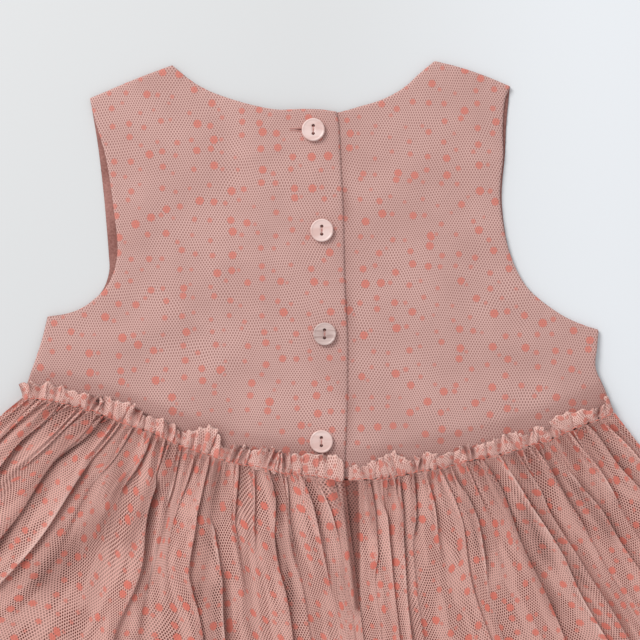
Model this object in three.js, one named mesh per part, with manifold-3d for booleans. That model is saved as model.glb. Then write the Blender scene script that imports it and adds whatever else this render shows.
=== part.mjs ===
// Toddler party dress, laid flat on its front with the buttoned back up
// Millimetres, +Z up. X runs across the dress, Y runs towards the neck.
import * as THREE from 'three';
import { mergeVertices } from 'three/addons/utils/BufferGeometryUtils.js';
import Module from 'manifold-3d';

const manifoldLibrary = await Module();
manifoldLibrary.setup();

// Cloth and seams
const bodiceWall = 1.2;
const netWall = 1.2;
const liningWall = 1.0;
const seamGap = 0.3;
const waistSeamGap = 0.5;
const panelGap = 0.4;

// Heights of the layers that lie on each other, from the floor up
const frontNetTop = 1.0;
const frontLiningLow = frontNetTop + seamGap;
const backLiningLow = frontLiningLow + liningWall + seamGap;
const backNetLow = backLiningLow + liningWall + seamGap;
const waistLift = frontNetTop + seamGap;
const lapLift = bodiceWall + panelGap;
const backBodiceLow = bodiceWall + panelGap;

// Bodice
const bodiceLength = 185;
const waistLiftFull = 25;
const waistLiftEnd = 45;
const underlapWidth = 25;
const lapRiseStart = 58;
const lapRiseEnd = 40;
const frillRiseStart = 82;

// Skirt
const skirtLength = 260;
const liningLength = 238;
const gatherDepth = 4.2;
const gatherDepthAtSeam = 1.5;
const gatherDepthAtHem = 2.6;
const netLapWidth = 9;
const flatSkirtColumns = 40;

// Gathered heading above the waist stitches
const frillHeight = 10.5;
const frillWaves = 50;
const frillDepth = 2.3;
const frillEndLeft = 6;
const frillEndRight = 19;
const frillRows = 3;
const frillColumnsPerWave = 4;
const frillDepthAtStitches = 0.35;

// Buttons with two holes, on the left half's lap
const buttonRadius = 5.8;
const buttonSides = 16;
const buttonHoleRadius = 0.75;
const buttonHoleOffset = 1.95;
const buttonHoleSides = 6;
const buttonBoreLength = 6;

const dustyRose = 0xc4998f;
const liningRose = 0xb98a80;
const netRose = 0xc79b90;
const pearlPink = 0xecd0c8;
const pearlGrey = 0xbb9b94;

// A table is a list of rows under named columns
function table(names, rows) {
  return rows.map((row) => Object.fromEntries(names.map((name, index) => [name, row[index]])));
}

// Waist stitches, from the left side seam to the right one
const waistRows = table(['x', 'y'], [
  [-149, -39],
  [-125, -42.5],
  [-90, -54.5],
  [-50, -69.5],
  [0, -78.8],
  [30, -79.3],
  [75, -70.8],
  [110, -61.5],
  [147, -46],
]);

// Sections of the bodice back, waist to shoulder: side seam, underarm, armhole
const backSections = table(['leftX', 'leftY', 'rightX', 'rightY'], [
  [-149, -39, 147, -46],
  [-144.5, -28, 142, -35.5],
  [-141.3, -19, 137.4, -24.5],
  [-138.2, -9, 138.2, -14.3],
  [-135.8, 1.1, 139.1, -5.6],
  [-127, 2.4, 131, -3],
  [-119.2, 5.1, 121, 1.6],
  [-112.5, 9.8, 109.3, 9.8],
  [-106.5, 15.8, 102.4, 16.8],
  [-102.6, 24, 97.2, 25.9],
  [-100.9, 33.2, 93.6, 36],
  [-101.2, 42, 91, 48],
  [-102.6, 53, 89.6, 60],
  [-103.8, 63, 90, 70],
  [-106.5, 79.7, 91.2, 82],
  [-109.5, 90.7, 90.9, 95],
  [-113.1, 103.1, 92, 109],
  [-114.75, 110.5, 94.7, 116.5],
]);

// Sections of the bodice front, whose armholes are cut a little shallower
const frontSections = table(['leftX', 'leftY', 'rightX', 'rightY'], [
  [-149, -39, 147, -46],
  [-144.5, -28, 142, -35.5],
  [-141.3, -19, 137.4, -24.5],
  [-138.2, -9, 138.2, -14.3],
  [-135.8, 1.1, 139.1, -5.6],
  [-127, 2, 131, -3.4],
  [-119.2, 4.3, 121, 1],
  [-112.5, 9, 109.3, 9],
  [-107.3, 15.4, 102, 16],
  [-104.6, 24, 97.2, 25.2],
  [-104.9, 33, 93.8, 36],
  [-105.7, 43, 91.6, 48],
  [-106.6, 53, 90.6, 60],
  [-107.6, 63, 91, 70],
  [-109.6, 79.7, 92.2, 82],
  [-111.2, 90.7, 92.9, 97],
  [-113.4, 103.1, 94, 109],
  [-114.75, 110.5, 94.7, 116.5],
]);

// Top edges, from the outer end of the shoulder inwards along the neck
const leftBackTop = table(['x', 'y'], [
  [-114.75, 110.5],
  [-101, 116.4],
  [-87.4, 122],
  [-73.65, 127.1],
  [-64.5, 119.6],
  [-56, 114.6],
  [-45, 110.4],
  [-33.2, 106.9],
  [-21.2, 104.7],
  [-10, 105],
  [0, 104.8],
  [8.25, 103.7],
]);
const rightBackTop = table(['x', 'y'], [
  [-16.75, 103.6],
  [-4, 103.4],
  [8.25, 103.4],
  [20.3, 106.6],
  [29, 109.2],
  [36.5, 112.6],
  [43.1, 117],
  [49.1, 122.6],
  [57.05, 129.25],
  [69.1, 126.2],
  [81.85, 121.9],
  [94.7, 116.5],
]);
const frontTop = table(['x', 'y'], [
  [-114.75, 110.5],
  [-101, 116.4],
  [-87.4, 122],
  [-73.65, 127.1],
  [-68.5, 114],
  [-60, 101],
  [-46, 88.5],
  [-28, 80.5],
  [-8, 78],
  [12, 80.5],
  [30, 89],
  [43, 101],
  [51.5, 115],
  [57.05, 129.25],
  [75.6, 124.2],
  [94.7, 116.5],
]);

// Right edge of the left back half, which laps over the right one
const placketRows = table(['y', 'x'], [
  [-78.8, 12.3],
  [-60, 13],
  [-37, 13.95],
  [-10, 13.95],
  [16.5, 12.5],
  [50, 11.9],
  [77, 10.6],
  [96.5, 9.6],
  [103.7, 8.25],
]);

// Direction in which the gathered skirt fans out, in degrees from straight down
const fanRows = table(['x', 'angle'], [
  [-149, -50],
  [-126, -44],
  [-107, -39],
  [-96, -31],
  [-85, -22],
  [-70, -14],
  [-55, -7],
  [-35, 0],
  [-10, 5],
  [12.3, 6.5],
  [40, 9],
  [62, 16],
  [80, 23],
  [100, 29],
  [125, 34],
  [147, 38],
]);

// Folds of the gathered net: the waist x at which each starts, and its share of the full depth
const foldRows = table(['x', 'depth'], [
  [-149, 0.7],
  [-138, 0.9],
  [-126, 0.8],
  [-116, 1],
  [-107, 0.7],
  [-100, 0.8],
  [-92, 0.7],
  [-82, 0.9],
  [-70, 0.8],
  [-62, 0.9],
  [-55, 0.8],
  [-41, 0.6],
  [-33, 1],
  [-25, 0.8],
  [-17, 1],
  [-9.5, 0.9],
  [1, 0.7],
  [12.3, 0],
  [19, 0.7],
  [26, 0.8],
  [33, 0.6],
  [40, 0.7],
  [47, 0.9],
  [55, 0.8],
  [62.5, 0.9],
  [71, 1],
  [80, 0.8],
  [90, 1],
  [101, 0.9],
  [112, 0.8],
  [122, 0.9],
  [133, 0.8],
  [147, 0],
]);

// Section of one fold, from its start to the next: a slow rise and a quicker fall
const foldSection = table(['across', 'height'], [
  [0, 0],
  [0.31, 0.7],
  [0.62, 1],
  [0.82, 0.6],
]);

// Soft folds of the bodice back: middle, run in degrees, reach, width and height
const bodiceFolds = table(['x', 'y', 'run', 'reach', 'width', 'height'], [
  [-98, -12, 28, 34, 9, 1.6],
  [-70, -38, 32, 26, 8, 1.1],
  [-88, 60, 84, 26, 8, 0.9],
  [-40, 44, 62, 30, 11, 0.8],
  [62, 30, -58, 34, 11, 0.9],
  [104, -16, -30, 28, 8, 1.5],
  [84, -44, -24, 26, 8, 1.0],
  [78, 84, -80, 22, 8, 0.8],
  [40, 66, 20, 22, 10, 0.7],
]);

// Button places on the lap, from the neck down
const buttonRows = table(['x', 'y', 'colour'], [
  [-3.35, 95.05, pearlPink],
  [0.9, 44.8, pearlPink],
  [2.3, -6.95, pearlGrey],
  [0.7, -60.6, pearlPink],
]);

function blend(from, to, share) {
  return from + (to - from) * share;
}

function interpolate(rows, key, value, name) {
  const next = Math.max(1, rows.findIndex((row) => row[key] >= value));
  const last = value > rows[rows.length - 1][key] ? rows.length - 1 : next;
  const before = rows[last - 1];
  const after = rows[last];
  const share = THREE.MathUtils.clamp((value - before[key]) / (after[key] - before[key]), 0, 1);
  return blend(before[name], after[name], share);
}

function placketX(y) {
  return interpolate(placketRows, 'y', y, 'x');
}

const waistCurve = new THREE.CatmullRomCurve3(
  waistRows.map((row) => new THREE.Vector3(row.x, row.y, 0)), false, 'centripetal');

// Share of the waist's length at which it reaches a given x
function waistShareAt(x) {
  let low = 0;
  let high = 1;
  const halvings = 40;
  for (let step = 0; step < halvings; step += 1) {
    const middle = (low + high) / 2;
    if (waistCurve.getPointAt(middle).x < x) low = middle;
    else high = middle;
  }
  return (low + high) / 2;
}

const waistMiddle = waistRows[4];
const rightEnd = waistRows[waistRows.length - 1].x;
const placketShare = waistShareAt(placketX(waistMiddle.y));

// A closed wall over a grid: pointAt(column, row) gives x, y and the low and high faces
function gridWall(columns, rows, pointAt) {
  const positions = [];
  const indices = [];
  const layer = (columns + 1) * (rows + 1);
  for (const face of ['low', 'high']) {
    for (let row = 0; row <= rows; row += 1) {
      for (let column = 0; column <= columns; column += 1) {
        const point = pointAt(column, row);
        positions.push(point.x, point.y, point[face]);
      }
    }
  }
  const at = (column, row) => row * (columns + 1) + column;
  const quad = (a, b, c, d) => indices.push(a, b, c, a, c, d);
  for (let row = 0; row < rows; row += 1) {
    for (let column = 0; column < columns; column += 1) {
      const a = at(column, row);
      const b = at(column + 1, row);
      const c = at(column + 1, row + 1);
      const d = at(column, row + 1);
      quad(layer + a, layer + b, layer + c, layer + d);
      indices.push(a, c, b, a, d, c);
    }
  }
  for (let column = 0; column < columns; column += 1) {
    const near = [at(column, 0), at(column + 1, 0)];
    const far = [at(column, rows), at(column + 1, rows)];
    quad(near[0], near[1], layer + near[1], layer + near[0]);
    quad(far[1], far[0], layer + far[0], layer + far[1]);
  }
  for (let row = 0; row < rows; row += 1) {
    const left = [at(0, row), at(0, row + 1)];
    const right = [at(columns, row), at(columns, row + 1)];
    quad(left[1], left[0], layer + left[0], layer + left[1]);
    quad(right[0], right[1], layer + right[1], layer + right[0]);
  }
  const geometry = new THREE.BufferGeometry();
  geometry.setAttribute('position', new THREE.Float32BufferAttribute(positions, 3));
  geometry.setIndex(indices);
  return geometry;
}

const party = new THREE.Group();

function addPiece(name, geometry, colour, roughness) {
  const material = new THREE.MeshStandardMaterial({ color: colour, roughness, metalness: 0 });
  const piece = new THREE.Mesh(geometry, material);
  piece.name = name;
  party.add(piece);
  return piece;
}

// Shares of the length of an open line at each of its points
function lengthShares(points) {
  const lengths = [0];
  for (let index = 1; index < points.length; index += 1) {
    const step = Math.hypot(points[index].x - points[index - 1].x, points[index].y - points[index - 1].y);
    lengths.push(lengths[index - 1] + step);
  }
  return lengths.map((length) => length / lengths[lengths.length - 1]);
}

// A bodice panel between its two side edges, a stretch of the waist and its top edge
function bodicePanel(leftEdge, rightEdge, top, waistFrom, waistTo, lowAt) {
  const across = lengthShares(top);
  const up = lengthShares(leftEdge);
  const columns = top.length - 1;
  const rows = leftEdge.length - 1;
  const topStart = top[0];
  const topEnd = top[columns];
  const waistStart = waistCurve.getPointAt(waistFrom);
  const waistEnd = waistCurve.getPointAt(waistTo);
  return gridWall(columns, rows, (column, row) => {
    const u = across[column];
    const v = up[row];
    const waist = waistCurve.getPointAt(blend(waistFrom, waistTo, u));
    const place = (axis) => blend(leftEdge[row][axis], rightEdge[row][axis], u)
      + (1 - v) * (waist[axis] - blend(waistStart[axis], waistEnd[axis], u))
      + v * v * (top[column][axis] - blend(topStart[axis], topEnd[axis], u));
    const x = place('x');
    const y = place('y');
    const low = lowAt(x, y, v * bodiceLength);
    return { x, y, low, high: low + bodiceWall };
  });
}

// How far the bodice is lifted by the heading that lies under it at the waist
function waistRise(above) {
  return waistLift * (1 - THREE.MathUtils.smoothstep(above, waistLiftFull, waistLiftEnd));
}

// How far the left half is lifted by the underlap, by its distance from the placket edge
function lapRise(x, y) {
  const inward = placketX(y) - x;
  return lapLift * (1 - THREE.MathUtils.smoothstep(inward, lapRiseEnd, lapRiseStart));
}

function foldRise(x, y, above) {
  const clearOfWaist = THREE.MathUtils.smoothstep(above, waistLiftFull, waistLiftEnd);
  let rise = 0;
  for (const fold of bodiceFolds) {
    const turn = THREE.MathUtils.degToRad(fold.run);
    const along = (x - fold.x) * Math.cos(turn) + (y - fold.y) * Math.sin(turn);
    const aside = (y - fold.y) * Math.cos(turn) - (x - fold.x) * Math.sin(turn);
    rise += fold.height * Math.exp(-((along / fold.reach) ** 2) - (aside / fold.width) ** 2);
  }
  return rise * clearOfWaist;
}

function edgeOf(sections, side) {
  return sections.map((row) => ({ x: row[`${side}X`], y: row[`${side}Y`] }));
}

// Points of the placket edge at the heights of another edge's rows, moved sideways
function placketEdge(outerEdge, waistY, topY, sideways) {
  return lengthShares(outerEdge).map((share) => {
    const y = blend(waistY, topY, share);
    return { x: placketX(y) + sideways, y };
  });
}

// Bodice front, its inside up
addPiece('front_bodice', bodicePanel(
  edgeOf(frontSections, 'left'), edgeOf(frontSections, 'right'), frontTop, 0, 1,
  (x, y, above) => waistRise(above)), liningRose, 0.85);

// Bodice back, the right half under the left half's lap
const rightOuter = edgeOf(backSections, 'right');
const underlapShare = waistShareAt(placketX(waistMiddle.y) - underlapWidth);
const underlapEdge = placketEdge(
  rightOuter, waistCurve.getPointAt(underlapShare).y, rightBackTop[0].y, -underlapWidth);
addPiece('back_bodice_right', bodicePanel(
  underlapEdge, rightOuter, rightBackTop, underlapShare, 1,
  (x, y, above) => backBodiceLow + waistRise(above) + rightFold(x, y, above)), dustyRose, 0.85);

// The right half stays flat where the lap covers it
function rightFold(x, y, above) {
  const outward = x - placketX(y);
  return foldRise(x, y, above) * THREE.MathUtils.smoothstep(outward, 0, 15);
}

const leftOuter = edgeOf(backSections, 'left');
const lapEdge = placketEdge(
  leftOuter, waistCurve.getPointAt(placketShare).y, leftBackTop[leftBackTop.length - 1].y, 0);
addPiece('back_bodice_left', bodicePanel(
  leftOuter, lapEdge, leftBackTop, 0, placketShare,
  (x, y, above) => backBodiceLow + waistRise(above) + lapRise(x, y) + foldRise(x, y, above)),
dustyRose, 0.85);

// A point of the skirt: share along the waist and length down the cloth
function skirtPoint(share, down) {
  const start = waistCurve.getPointAt(share);
  const turn = THREE.MathUtils.degToRad(interpolate(fanRows, 'x', start.x, 'angle'));
  return { x: start.x + down * Math.sin(turn), y: start.y - down * Math.cos(turn) };
}

// A flat skirt panel between its hem and the waist seam
function flatSkirt(length, low, thickness) {
  return gridWall(flatSkirtColumns, 1, (column, row) => {
    const down = blend(length, waistSeamGap, row);
    return { ...skirtPoint(column / flatSkirtColumns, down), low, high: low + thickness };
  });
}

addPiece('skirt_net_front', flatSkirt(skirtLength, 0, frontNetTop), netRose, 0.8);
addPiece('skirt_lining_front', flatSkirt(liningLength, frontLiningLow, liningWall), liningRose, 0.7);
addPiece('skirt_lining_back', flatSkirt(liningLength, backLiningLow, liningWall), liningRose, 0.7);

// Depth of the folds down the cloth, from the waist to the hem
const gatherRows = table(['down', 'depth'], [
  [waistSeamGap, gatherDepthAtSeam],
  [9, gatherDepth * 0.8],
  [26, gatherDepth],
  [55, gatherDepth],
  [95, gatherDepth * 0.95],
  [140, gatherDepth * 0.9],
  [185, gatherDepth * 0.8],
  [225, gatherDepth * 0.7],
  [skirtLength, gatherDepthAtHem],
]);

// Places along the waist where a net panel has a column, with the fold's height there
function foldStations(fromX, toX) {
  const stations = [];
  for (let index = 0; foldRows[index].x < toX; index += 1) {
    const fold = foldRows[index];
    if (fold.x < fromX) continue;
    const start = waistShareAt(fold.x);
    const end = waistShareAt(foldRows[index + 1].x);
    for (const column of foldSection) {
      stations.push({ share: blend(start, end, column.across), height: column.height * fold.depth });
    }
  }
  return [...stations, { share: waistShareAt(toX), height: 0 }];
}

// A gathered net panel, hem row first
function gatheredSkirt(stations, liftAt) {
  const rows = gatherRows.length - 1;
  return gridWall(stations.length - 1, rows, (column, row) => {
    const { share, height } = stations[column];
    const { down, depth } = gatherRows[rows - row];
    const low = backNetLow + liftAt(share) + height * depth;
    return { ...skirtPoint(share, down), low, high: low + netWall };
  });
}

// Behind the placket the right net starts flat, and the left net is lifted over it
const netLapShare = netLapWidth / waistCurve.getLength();
const netLapStart = placketShare - netLapShare;
const flatStations = [{ share: netLapStart, height: 0 }, { share: placketShare, height: 0 }];
addPiece('skirt_net_back_right', gatheredSkirt(
  [...flatStations, ...foldStations(frillEndRight, rightEnd)], () => 0), netRose, 0.8);
addPiece('skirt_net_back_left', gatheredSkirt(
  foldStations(waistRows[0].x, placketX(waistMiddle.y)),
  (share) => (netWall + seamGap) * THREE.MathUtils.smoothstep(
    share, netLapStart - 3 * netLapShare, netLapStart - netLapShare)), netRose, 0.8);

// Slow sways along the waist make some waves of the heading wide and deep and others narrow
const frillDrift = table(['rate', 'start', 'size'], [[61, 0, 0.3]]);
const frillSway = table(['rate', 'start', 'size'], [[83, 0, 0.25]]);
const frillReachSway = table(['rate', 'start', 'size'], [[117, 0.8, 0.1]]);

function sway(rows, share) {
  return rows.reduce((sum, row) => sum + row.size * Math.sin(row.rate * share + row.start), 0);
}

// Height of a wave between 0 and 1 by its count along the cloth
function waveAt(count) {
  return 0.5 - 0.5 * Math.cos(2 * Math.PI * count);
}

// A point beside the waist stitches, at a share of their length and a reach above them
function headingPoint(share, reach) {
  const base = waistCurve.getPointAt(share);
  const along = waistCurve.getTangentAt(share);
  return { x: base.x - along.y * reach, y: base.y + along.x * reach };
}

// Gathered heading on the back: its waves open towards the free edge
function frillWall(fromX, toX, liftAt) {
  const from = waistShareAt(fromX);
  const to = waistShareAt(toX);
  const columns = frillColumnsPerWave * Math.round(frillWaves * (to - from));
  return gridWall(columns, frillRows, (column, row) => {
    const share = blend(from, to, column / columns);
    const up = row / frillRows;
    const place = headingPoint(share, up * frillHeight * (1 + sway(frillReachSway, share)));
    const open = blend(frillDepthAtStitches, 1, up);
    const depth = frillDepth * open * (1 - frillSway[0].size + sway(frillSway, share));
    const wave = waveAt(column / frillColumnsPerWave + sway(frillDrift, share));
    const low = frillLow + liftAt(place.x, place.y) + depth * wave;
    return { ...place, low, high: low + netWall };
  });
}

const frillLow = backBodiceLow + waistLift + bodiceWall + seamGap;
addPiece('waist_frill_back_left', frillWall(
  waistRows[0].x, frillEndLeft,
  (x, y) => lapLift * (1 - THREE.MathUtils.smoothstep(placketX(y) - x, lapRiseStart, frillRiseStart))),
netRose, 0.8);
addPiece('waist_frill_back_right', frillWall(frillEndRight, rightEnd, () => 0), netRose, 0.8);

// The front's heading lies flat under the bodice front
addPiece('waist_frill_front', gridWall(flatSkirtColumns, 1, (column, row) => {
  const place = headingPoint(column / flatSkirtColumns, row * frillHeight);
  return { ...place, low: 0, high: frontNetTop };
}), netRose, 0.8);

// A geometry as a solid that can be cut, and back
function solidOf(geometry) {
  const bare = geometry.clone();
  bare.deleteAttribute('normal');
  bare.deleteAttribute('uv');
  const merged = mergeVertices(bare);
  return new manifoldLibrary.Manifold(new manifoldLibrary.Mesh({
    numProp: 3,
    vertProperties: new Float32Array(merged.attributes.position.array),
    triVerts: new Uint32Array(merged.index.array),
  }));
}

function geometryOf(solid) {
  const mesh = solid.getMesh();
  const geometry = new THREE.BufferGeometry();
  geometry.setAttribute('position', new THREE.BufferAttribute(new Float32Array(mesh.vertProperties), 3));
  geometry.setIndex(new THREE.BufferAttribute(new Uint32Array(mesh.triVerts), 1));
  return geometry;
}

// Button turned from its half section: flat back, round rim and dished face
const buttonProfile = table(['share', 'height'], [
  [0, 0],
  [0.84, 0],
  [0.97, 0.5],
  [1, 1.2],
  [0.95, 1.9],
  [0.85, 2.2],
  [0.73, 1.9],
  [0.64, 1.5],
  [0, 1.35],
]);

function buttonGeometry() {
  const profile = buttonProfile.map((row) => new THREE.Vector2(row.share * buttonRadius, row.height));
  const disc = new THREE.LatheGeometry(profile, buttonSides);
  disc.rotateX(Math.PI / 2);
  let button = solidOf(disc);
  for (const side of [-1, 1]) {
    const bore = new THREE.CylinderGeometry(
      buttonHoleRadius, buttonHoleRadius, buttonBoreLength, buttonHoleSides);
    bore.rotateX(Math.PI / 2);
    bore.translate(0, side * buttonHoleOffset, 0);
    button = button.subtract(solidOf(bore));
  }
  return geometryOf(button);
}

const lapTop = backBodiceLow + lapLift + bodiceWall;
buttonRows.forEach((row, index) => {
  const button = addPiece(`button_${index + 1}`, buttonGeometry(), row.colour, 0.25);
  const aboveWaist = row.y - buttonRadius - waistMiddle.y;
  button.position.set(row.x, row.y, lapTop + waistRise(aboveWaist) + seamGap);
});

// The origin is under the middle of the whole dress
const whole = new THREE.Box3().setFromObject(party);
const middle = whole.getCenter(new THREE.Vector3());
party.position.set(-middle.x, -middle.y, 0);

export default party;
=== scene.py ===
# %% [markdown]
# # Toddler party dress, laid flat with its back up
#
# A sleeveless party dress in dusty rose net with coral dots. The bodice is net over a plain lining,
# closed at the back by four pearl buttons. The skirt is a gathered net over a lining, and the net's own
# heading stands above the waist stitches as a small frill. The frame holds each piece at its real size,
# and the cells below give it its cloth.

# %% Load the frame
import math

import bpy
import numpy as np
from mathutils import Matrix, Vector, kdtree


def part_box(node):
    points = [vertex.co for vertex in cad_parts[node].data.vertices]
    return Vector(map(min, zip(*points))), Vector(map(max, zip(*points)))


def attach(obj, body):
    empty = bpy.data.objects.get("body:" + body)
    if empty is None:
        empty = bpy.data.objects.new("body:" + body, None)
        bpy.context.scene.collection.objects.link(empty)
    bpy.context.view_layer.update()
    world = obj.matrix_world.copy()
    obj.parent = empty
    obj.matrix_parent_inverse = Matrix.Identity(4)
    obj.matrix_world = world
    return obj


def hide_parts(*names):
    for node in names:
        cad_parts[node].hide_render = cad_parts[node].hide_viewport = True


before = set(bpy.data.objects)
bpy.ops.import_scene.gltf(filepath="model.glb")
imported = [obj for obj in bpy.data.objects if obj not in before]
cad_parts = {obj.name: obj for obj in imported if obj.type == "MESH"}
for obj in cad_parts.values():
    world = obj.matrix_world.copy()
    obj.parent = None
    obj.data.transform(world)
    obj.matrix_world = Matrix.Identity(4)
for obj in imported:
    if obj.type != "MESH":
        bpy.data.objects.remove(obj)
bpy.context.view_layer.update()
print("nodes in the frame:", ", ".join(sorted(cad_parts)))

# %% [markdown]
# ## One drawing for the whole dress
#
# A pattern maker draws on one sheet and measures from one point. Here the drawing is in millimetres,
# measured from the middle of the picture, with x to the right and y towards the neck. The top button is
# the point that the drawing and the frame share, so its box gives the way from one to the other.

# %% From the drawing to the frame
MM = 0.001
button_places = {
    "button_1": (-3.35, 95.05),
    "button_2": (0.9, 44.8),
    "button_3": (2.3, -6.95),
    "button_4": (0.7, -60.6),
}
low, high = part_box("button_1")
button_middle = np.array([(low[axis] + high[axis]) / 2 / MM for axis in (0, 1)])
drawing_origin = button_middle - np.array(button_places["button_1"])


def in_frame(points):
    """Points of the drawing, in millimetres, as points of the frame, in metres."""
    points = np.asarray(points, float)
    return (points + np.array([*drawing_origin, 0.0])) * MM


print("middle of the picture in the frame, mm:", drawing_origin.round(2))

# %% [markdown]
# ## Camera
#
# The dress lies on a table and the camera looks straight down on it, as in the photograph. A long lens
# keeps the cloth's thickness from leaning outwards at the edges. The picture is 320 mm of cloth from
# side to side.

# %% Set the camera
picture_width = 320.0
cloth_height = 4.5
lens_length = 100.0
sensor_width = 36.0
camera_data = bpy.data.cameras.new("overhead")
camera_data.lens = lens_length
camera_data.sensor_width = sensor_width
camera = bpy.data.objects.new("overhead", camera_data)
camera.location = in_frame((0, 0, cloth_height + picture_width * lens_length / sensor_width))
bpy.context.scene.collection.objects.link(camera)
bpy.context.scene.camera = camera
bpy.context.scene.view_settings.view_transform = "Standard"
print("camera height above the table, m:", round(camera.location.z, 3))

# %% [markdown]
# ## Light
#
# Cloth shows its folds only where light comes from one side. A broad lamp up and to the left draws each
# fold with a soft shadow on its right, and the pale world fills the shadows as a white studio does.

# %% Light the table
lamp_data = bpy.data.lights.new("broad_lamp", "AREA")
lamp_data.shape = "DISK"
lamp_data.size = 1.1
lamp_data.energy = 30.5
lamp_data.color = (1.0, 0.985, 0.97)
lamp_place = (-1100, 1150, 1550)
lamp = bpy.data.objects.new("broad_lamp", lamp_data)
lamp.location = in_frame(lamp_place)
lamp_aim = Vector(in_frame((0, 0, 0))) - lamp.location
lamp.rotation_euler = lamp_aim.to_track_quat("-Z", "Y").to_euler()
bpy.context.scene.collection.objects.link(lamp)

world = bpy.data.worlds.new("studio")
world.use_nodes = True
world.node_tree.nodes["Background"].inputs["Color"].default_value = (0.985, 0.985, 1.0, 1.0)
world.node_tree.nodes["Background"].inputs["Strength"].default_value = 0.6
bpy.context.scene.world = world

# %% [markdown]
# ## A language for finishes
#
# A finish is a sum in which each quantity is a socket of a node. The class below wraps a socket, so that
# a finish can be written as plain arithmetic: each operator adds the Math node that it stands for.


# %% Wrap a socket
def linear(red, green, blue):
    """A colour read from a screen, from 0 to 255, as the light that it stands for."""
    shares = np.array([red, green, blue]) / 255
    low_part = shares / 12.92
    high_part = ((shares + 0.055) / 1.055) ** 2.4
    return (*np.where(shares <= 0.04045, low_part, high_part).tolist(), 1.0)


class Wire:
    """A socket of a material's nodes, with operators that add Math nodes."""

    def __init__(self, tree, socket=None):
        self.tree = tree
        self.socket = socket

    def node(self, kind, settings=None, sockets=None, output=0):
        made = self.tree.nodes.new(kind)
        for name, value in (settings or {}).items():
            setattr(made, name, value)
        for name, value in (sockets or {}).items():
            if isinstance(value, Wire):
                self.tree.links.new(value.socket, made.inputs[name])
            else:
                made.inputs[name].default_value = value
        return Wire(self.tree, made.outputs[output])

    def math(self, operation, *values):
        return self.node("ShaderNodeMath", {"operation": operation}, dict(enumerate(values)))

    def __add__(self, other):
        return self.math("ADD", self, other)

    def __sub__(self, other):
        return self.math("SUBTRACT", self, other)

    def __rsub__(self, other):
        return self.math("SUBTRACT", other, self)

    def __mul__(self, other):
        return self.math("MULTIPLY", self, other)

    def __truediv__(self, other):
        return self.math("DIVIDE", self, other)

    __radd__ = __add__
    __rmul__ = __mul__

    def fraction(self):
        return self.math("FRACT", self)

    def size(self):
        return self.math("ABSOLUTE", self)

    def least(self, other):
        return self.math("MINIMUM", self, other)

    def most(self, other):
        return self.math("MAXIMUM", self, other)

    def ease(self, start, end, low=0.0, high=1.0):
        """Goes smoothly from low to high while the value goes from start to end."""
        return self.node("ShaderNodeMapRange", {"interpolation_type": "SMOOTHSTEP"}, {
            "Value": self, "From Min": start, "From Max": end, "To Min": low, "To Max": high})

    def colour(self, at_none, at_full):
        """Mixes two colours, the value being the share of the second."""
        return self.node("ShaderNodeMix", {"data_type": "RGBA"}, {0: self, 6: at_none, 7: at_full}, output=2)


# %% [markdown]
# ## Finishes
#
# Net is a lattice of six-sided holes, each row half a step along from the last. On the bodice it lies on
# its lining, so the holes show the lining in shade. On the skirt the holes are real gaps, cut by the
# Alpha socket, so that two and three layers of it look denser than one. The coral dots are printed on
# the net, in many sizes and with no order, which a Voronoi texture with a random size for each cell
# gives. The small dots are the fainter ones.

# %% Net and dots in the cloth's own millimetres
hole_step = 1.30
hole_row = 1.20
hole_narrow, hole_tall = 1.12, 0.9
slant = math.hypot(hole_step / 2, hole_row)
slant_across = hole_step ** 2 / (2 * slant ** 2) * hole_narrow
slant_along = hole_step * hole_row / slant ** 2 * hole_tall
flat_cell = 8.1
gathered_cell = 7.2
doubled_cell = 5.4
dot_radii = (0.95, 2.3)


def start_material(name, roughness, sheen=0.0):
    """A new material, its shader node, and a wire to build with."""
    material = bpy.data.materials.new(name)
    material.use_nodes = True
    shader = material.node_tree.nodes["Principled BSDF"]
    shader.inputs["Roughness"].default_value = roughness
    shader.inputs["Sheen Weight"].default_value = sheen
    shader.inputs["Specular IOR Level"].default_value = 0.25
    return material, shader, Wire(material.node_tree)


def cloth_places(wire):
    """Places across and along the flat cloth, in millimetres."""
    flat = wire.node("ShaderNodeUVMap", {"uv_map": "cloth"})
    parts = wire.node("ShaderNodeSeparateXYZ", {}, {0: flat})
    node = parts.socket.node
    return Wire(wire.tree, node.outputs[0]) / MM, Wire(wire.tree, node.outputs[1]) / MM


def noise(wire, across, along, size, detail=2.0, seed=0.0):
    """Soft noise between 0 and 1, whose patches are about size millimetres wide."""
    place = wire.node("ShaderNodeCombineXYZ", {}, {0: across / size + seed, 1: along / size, 2: seed})
    return wire.node("ShaderNodeTexNoise", {}, {"Vector": place, "Scale": 1.0, "Detail": detail})


def net_holes(across, along, inner, outer):
    """1 in the middle of each six-sided hole of the net and 0 on its threads."""
    reaches = []
    for start in (0.0, 0.5):
        aside = (((across / hole_step + start).fraction() - 0.5) * hole_step).size()
        beyond = (((along / (2 * hole_row) + start).fraction() - 0.5) * (2 * hole_row)).size()
        reaches.append((aside * hole_narrow).most(aside * slant_across + beyond * slant_along))
    return reaches[0].least(reaches[1]).ease(inner, outer, 1.0, 0.0)


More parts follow.
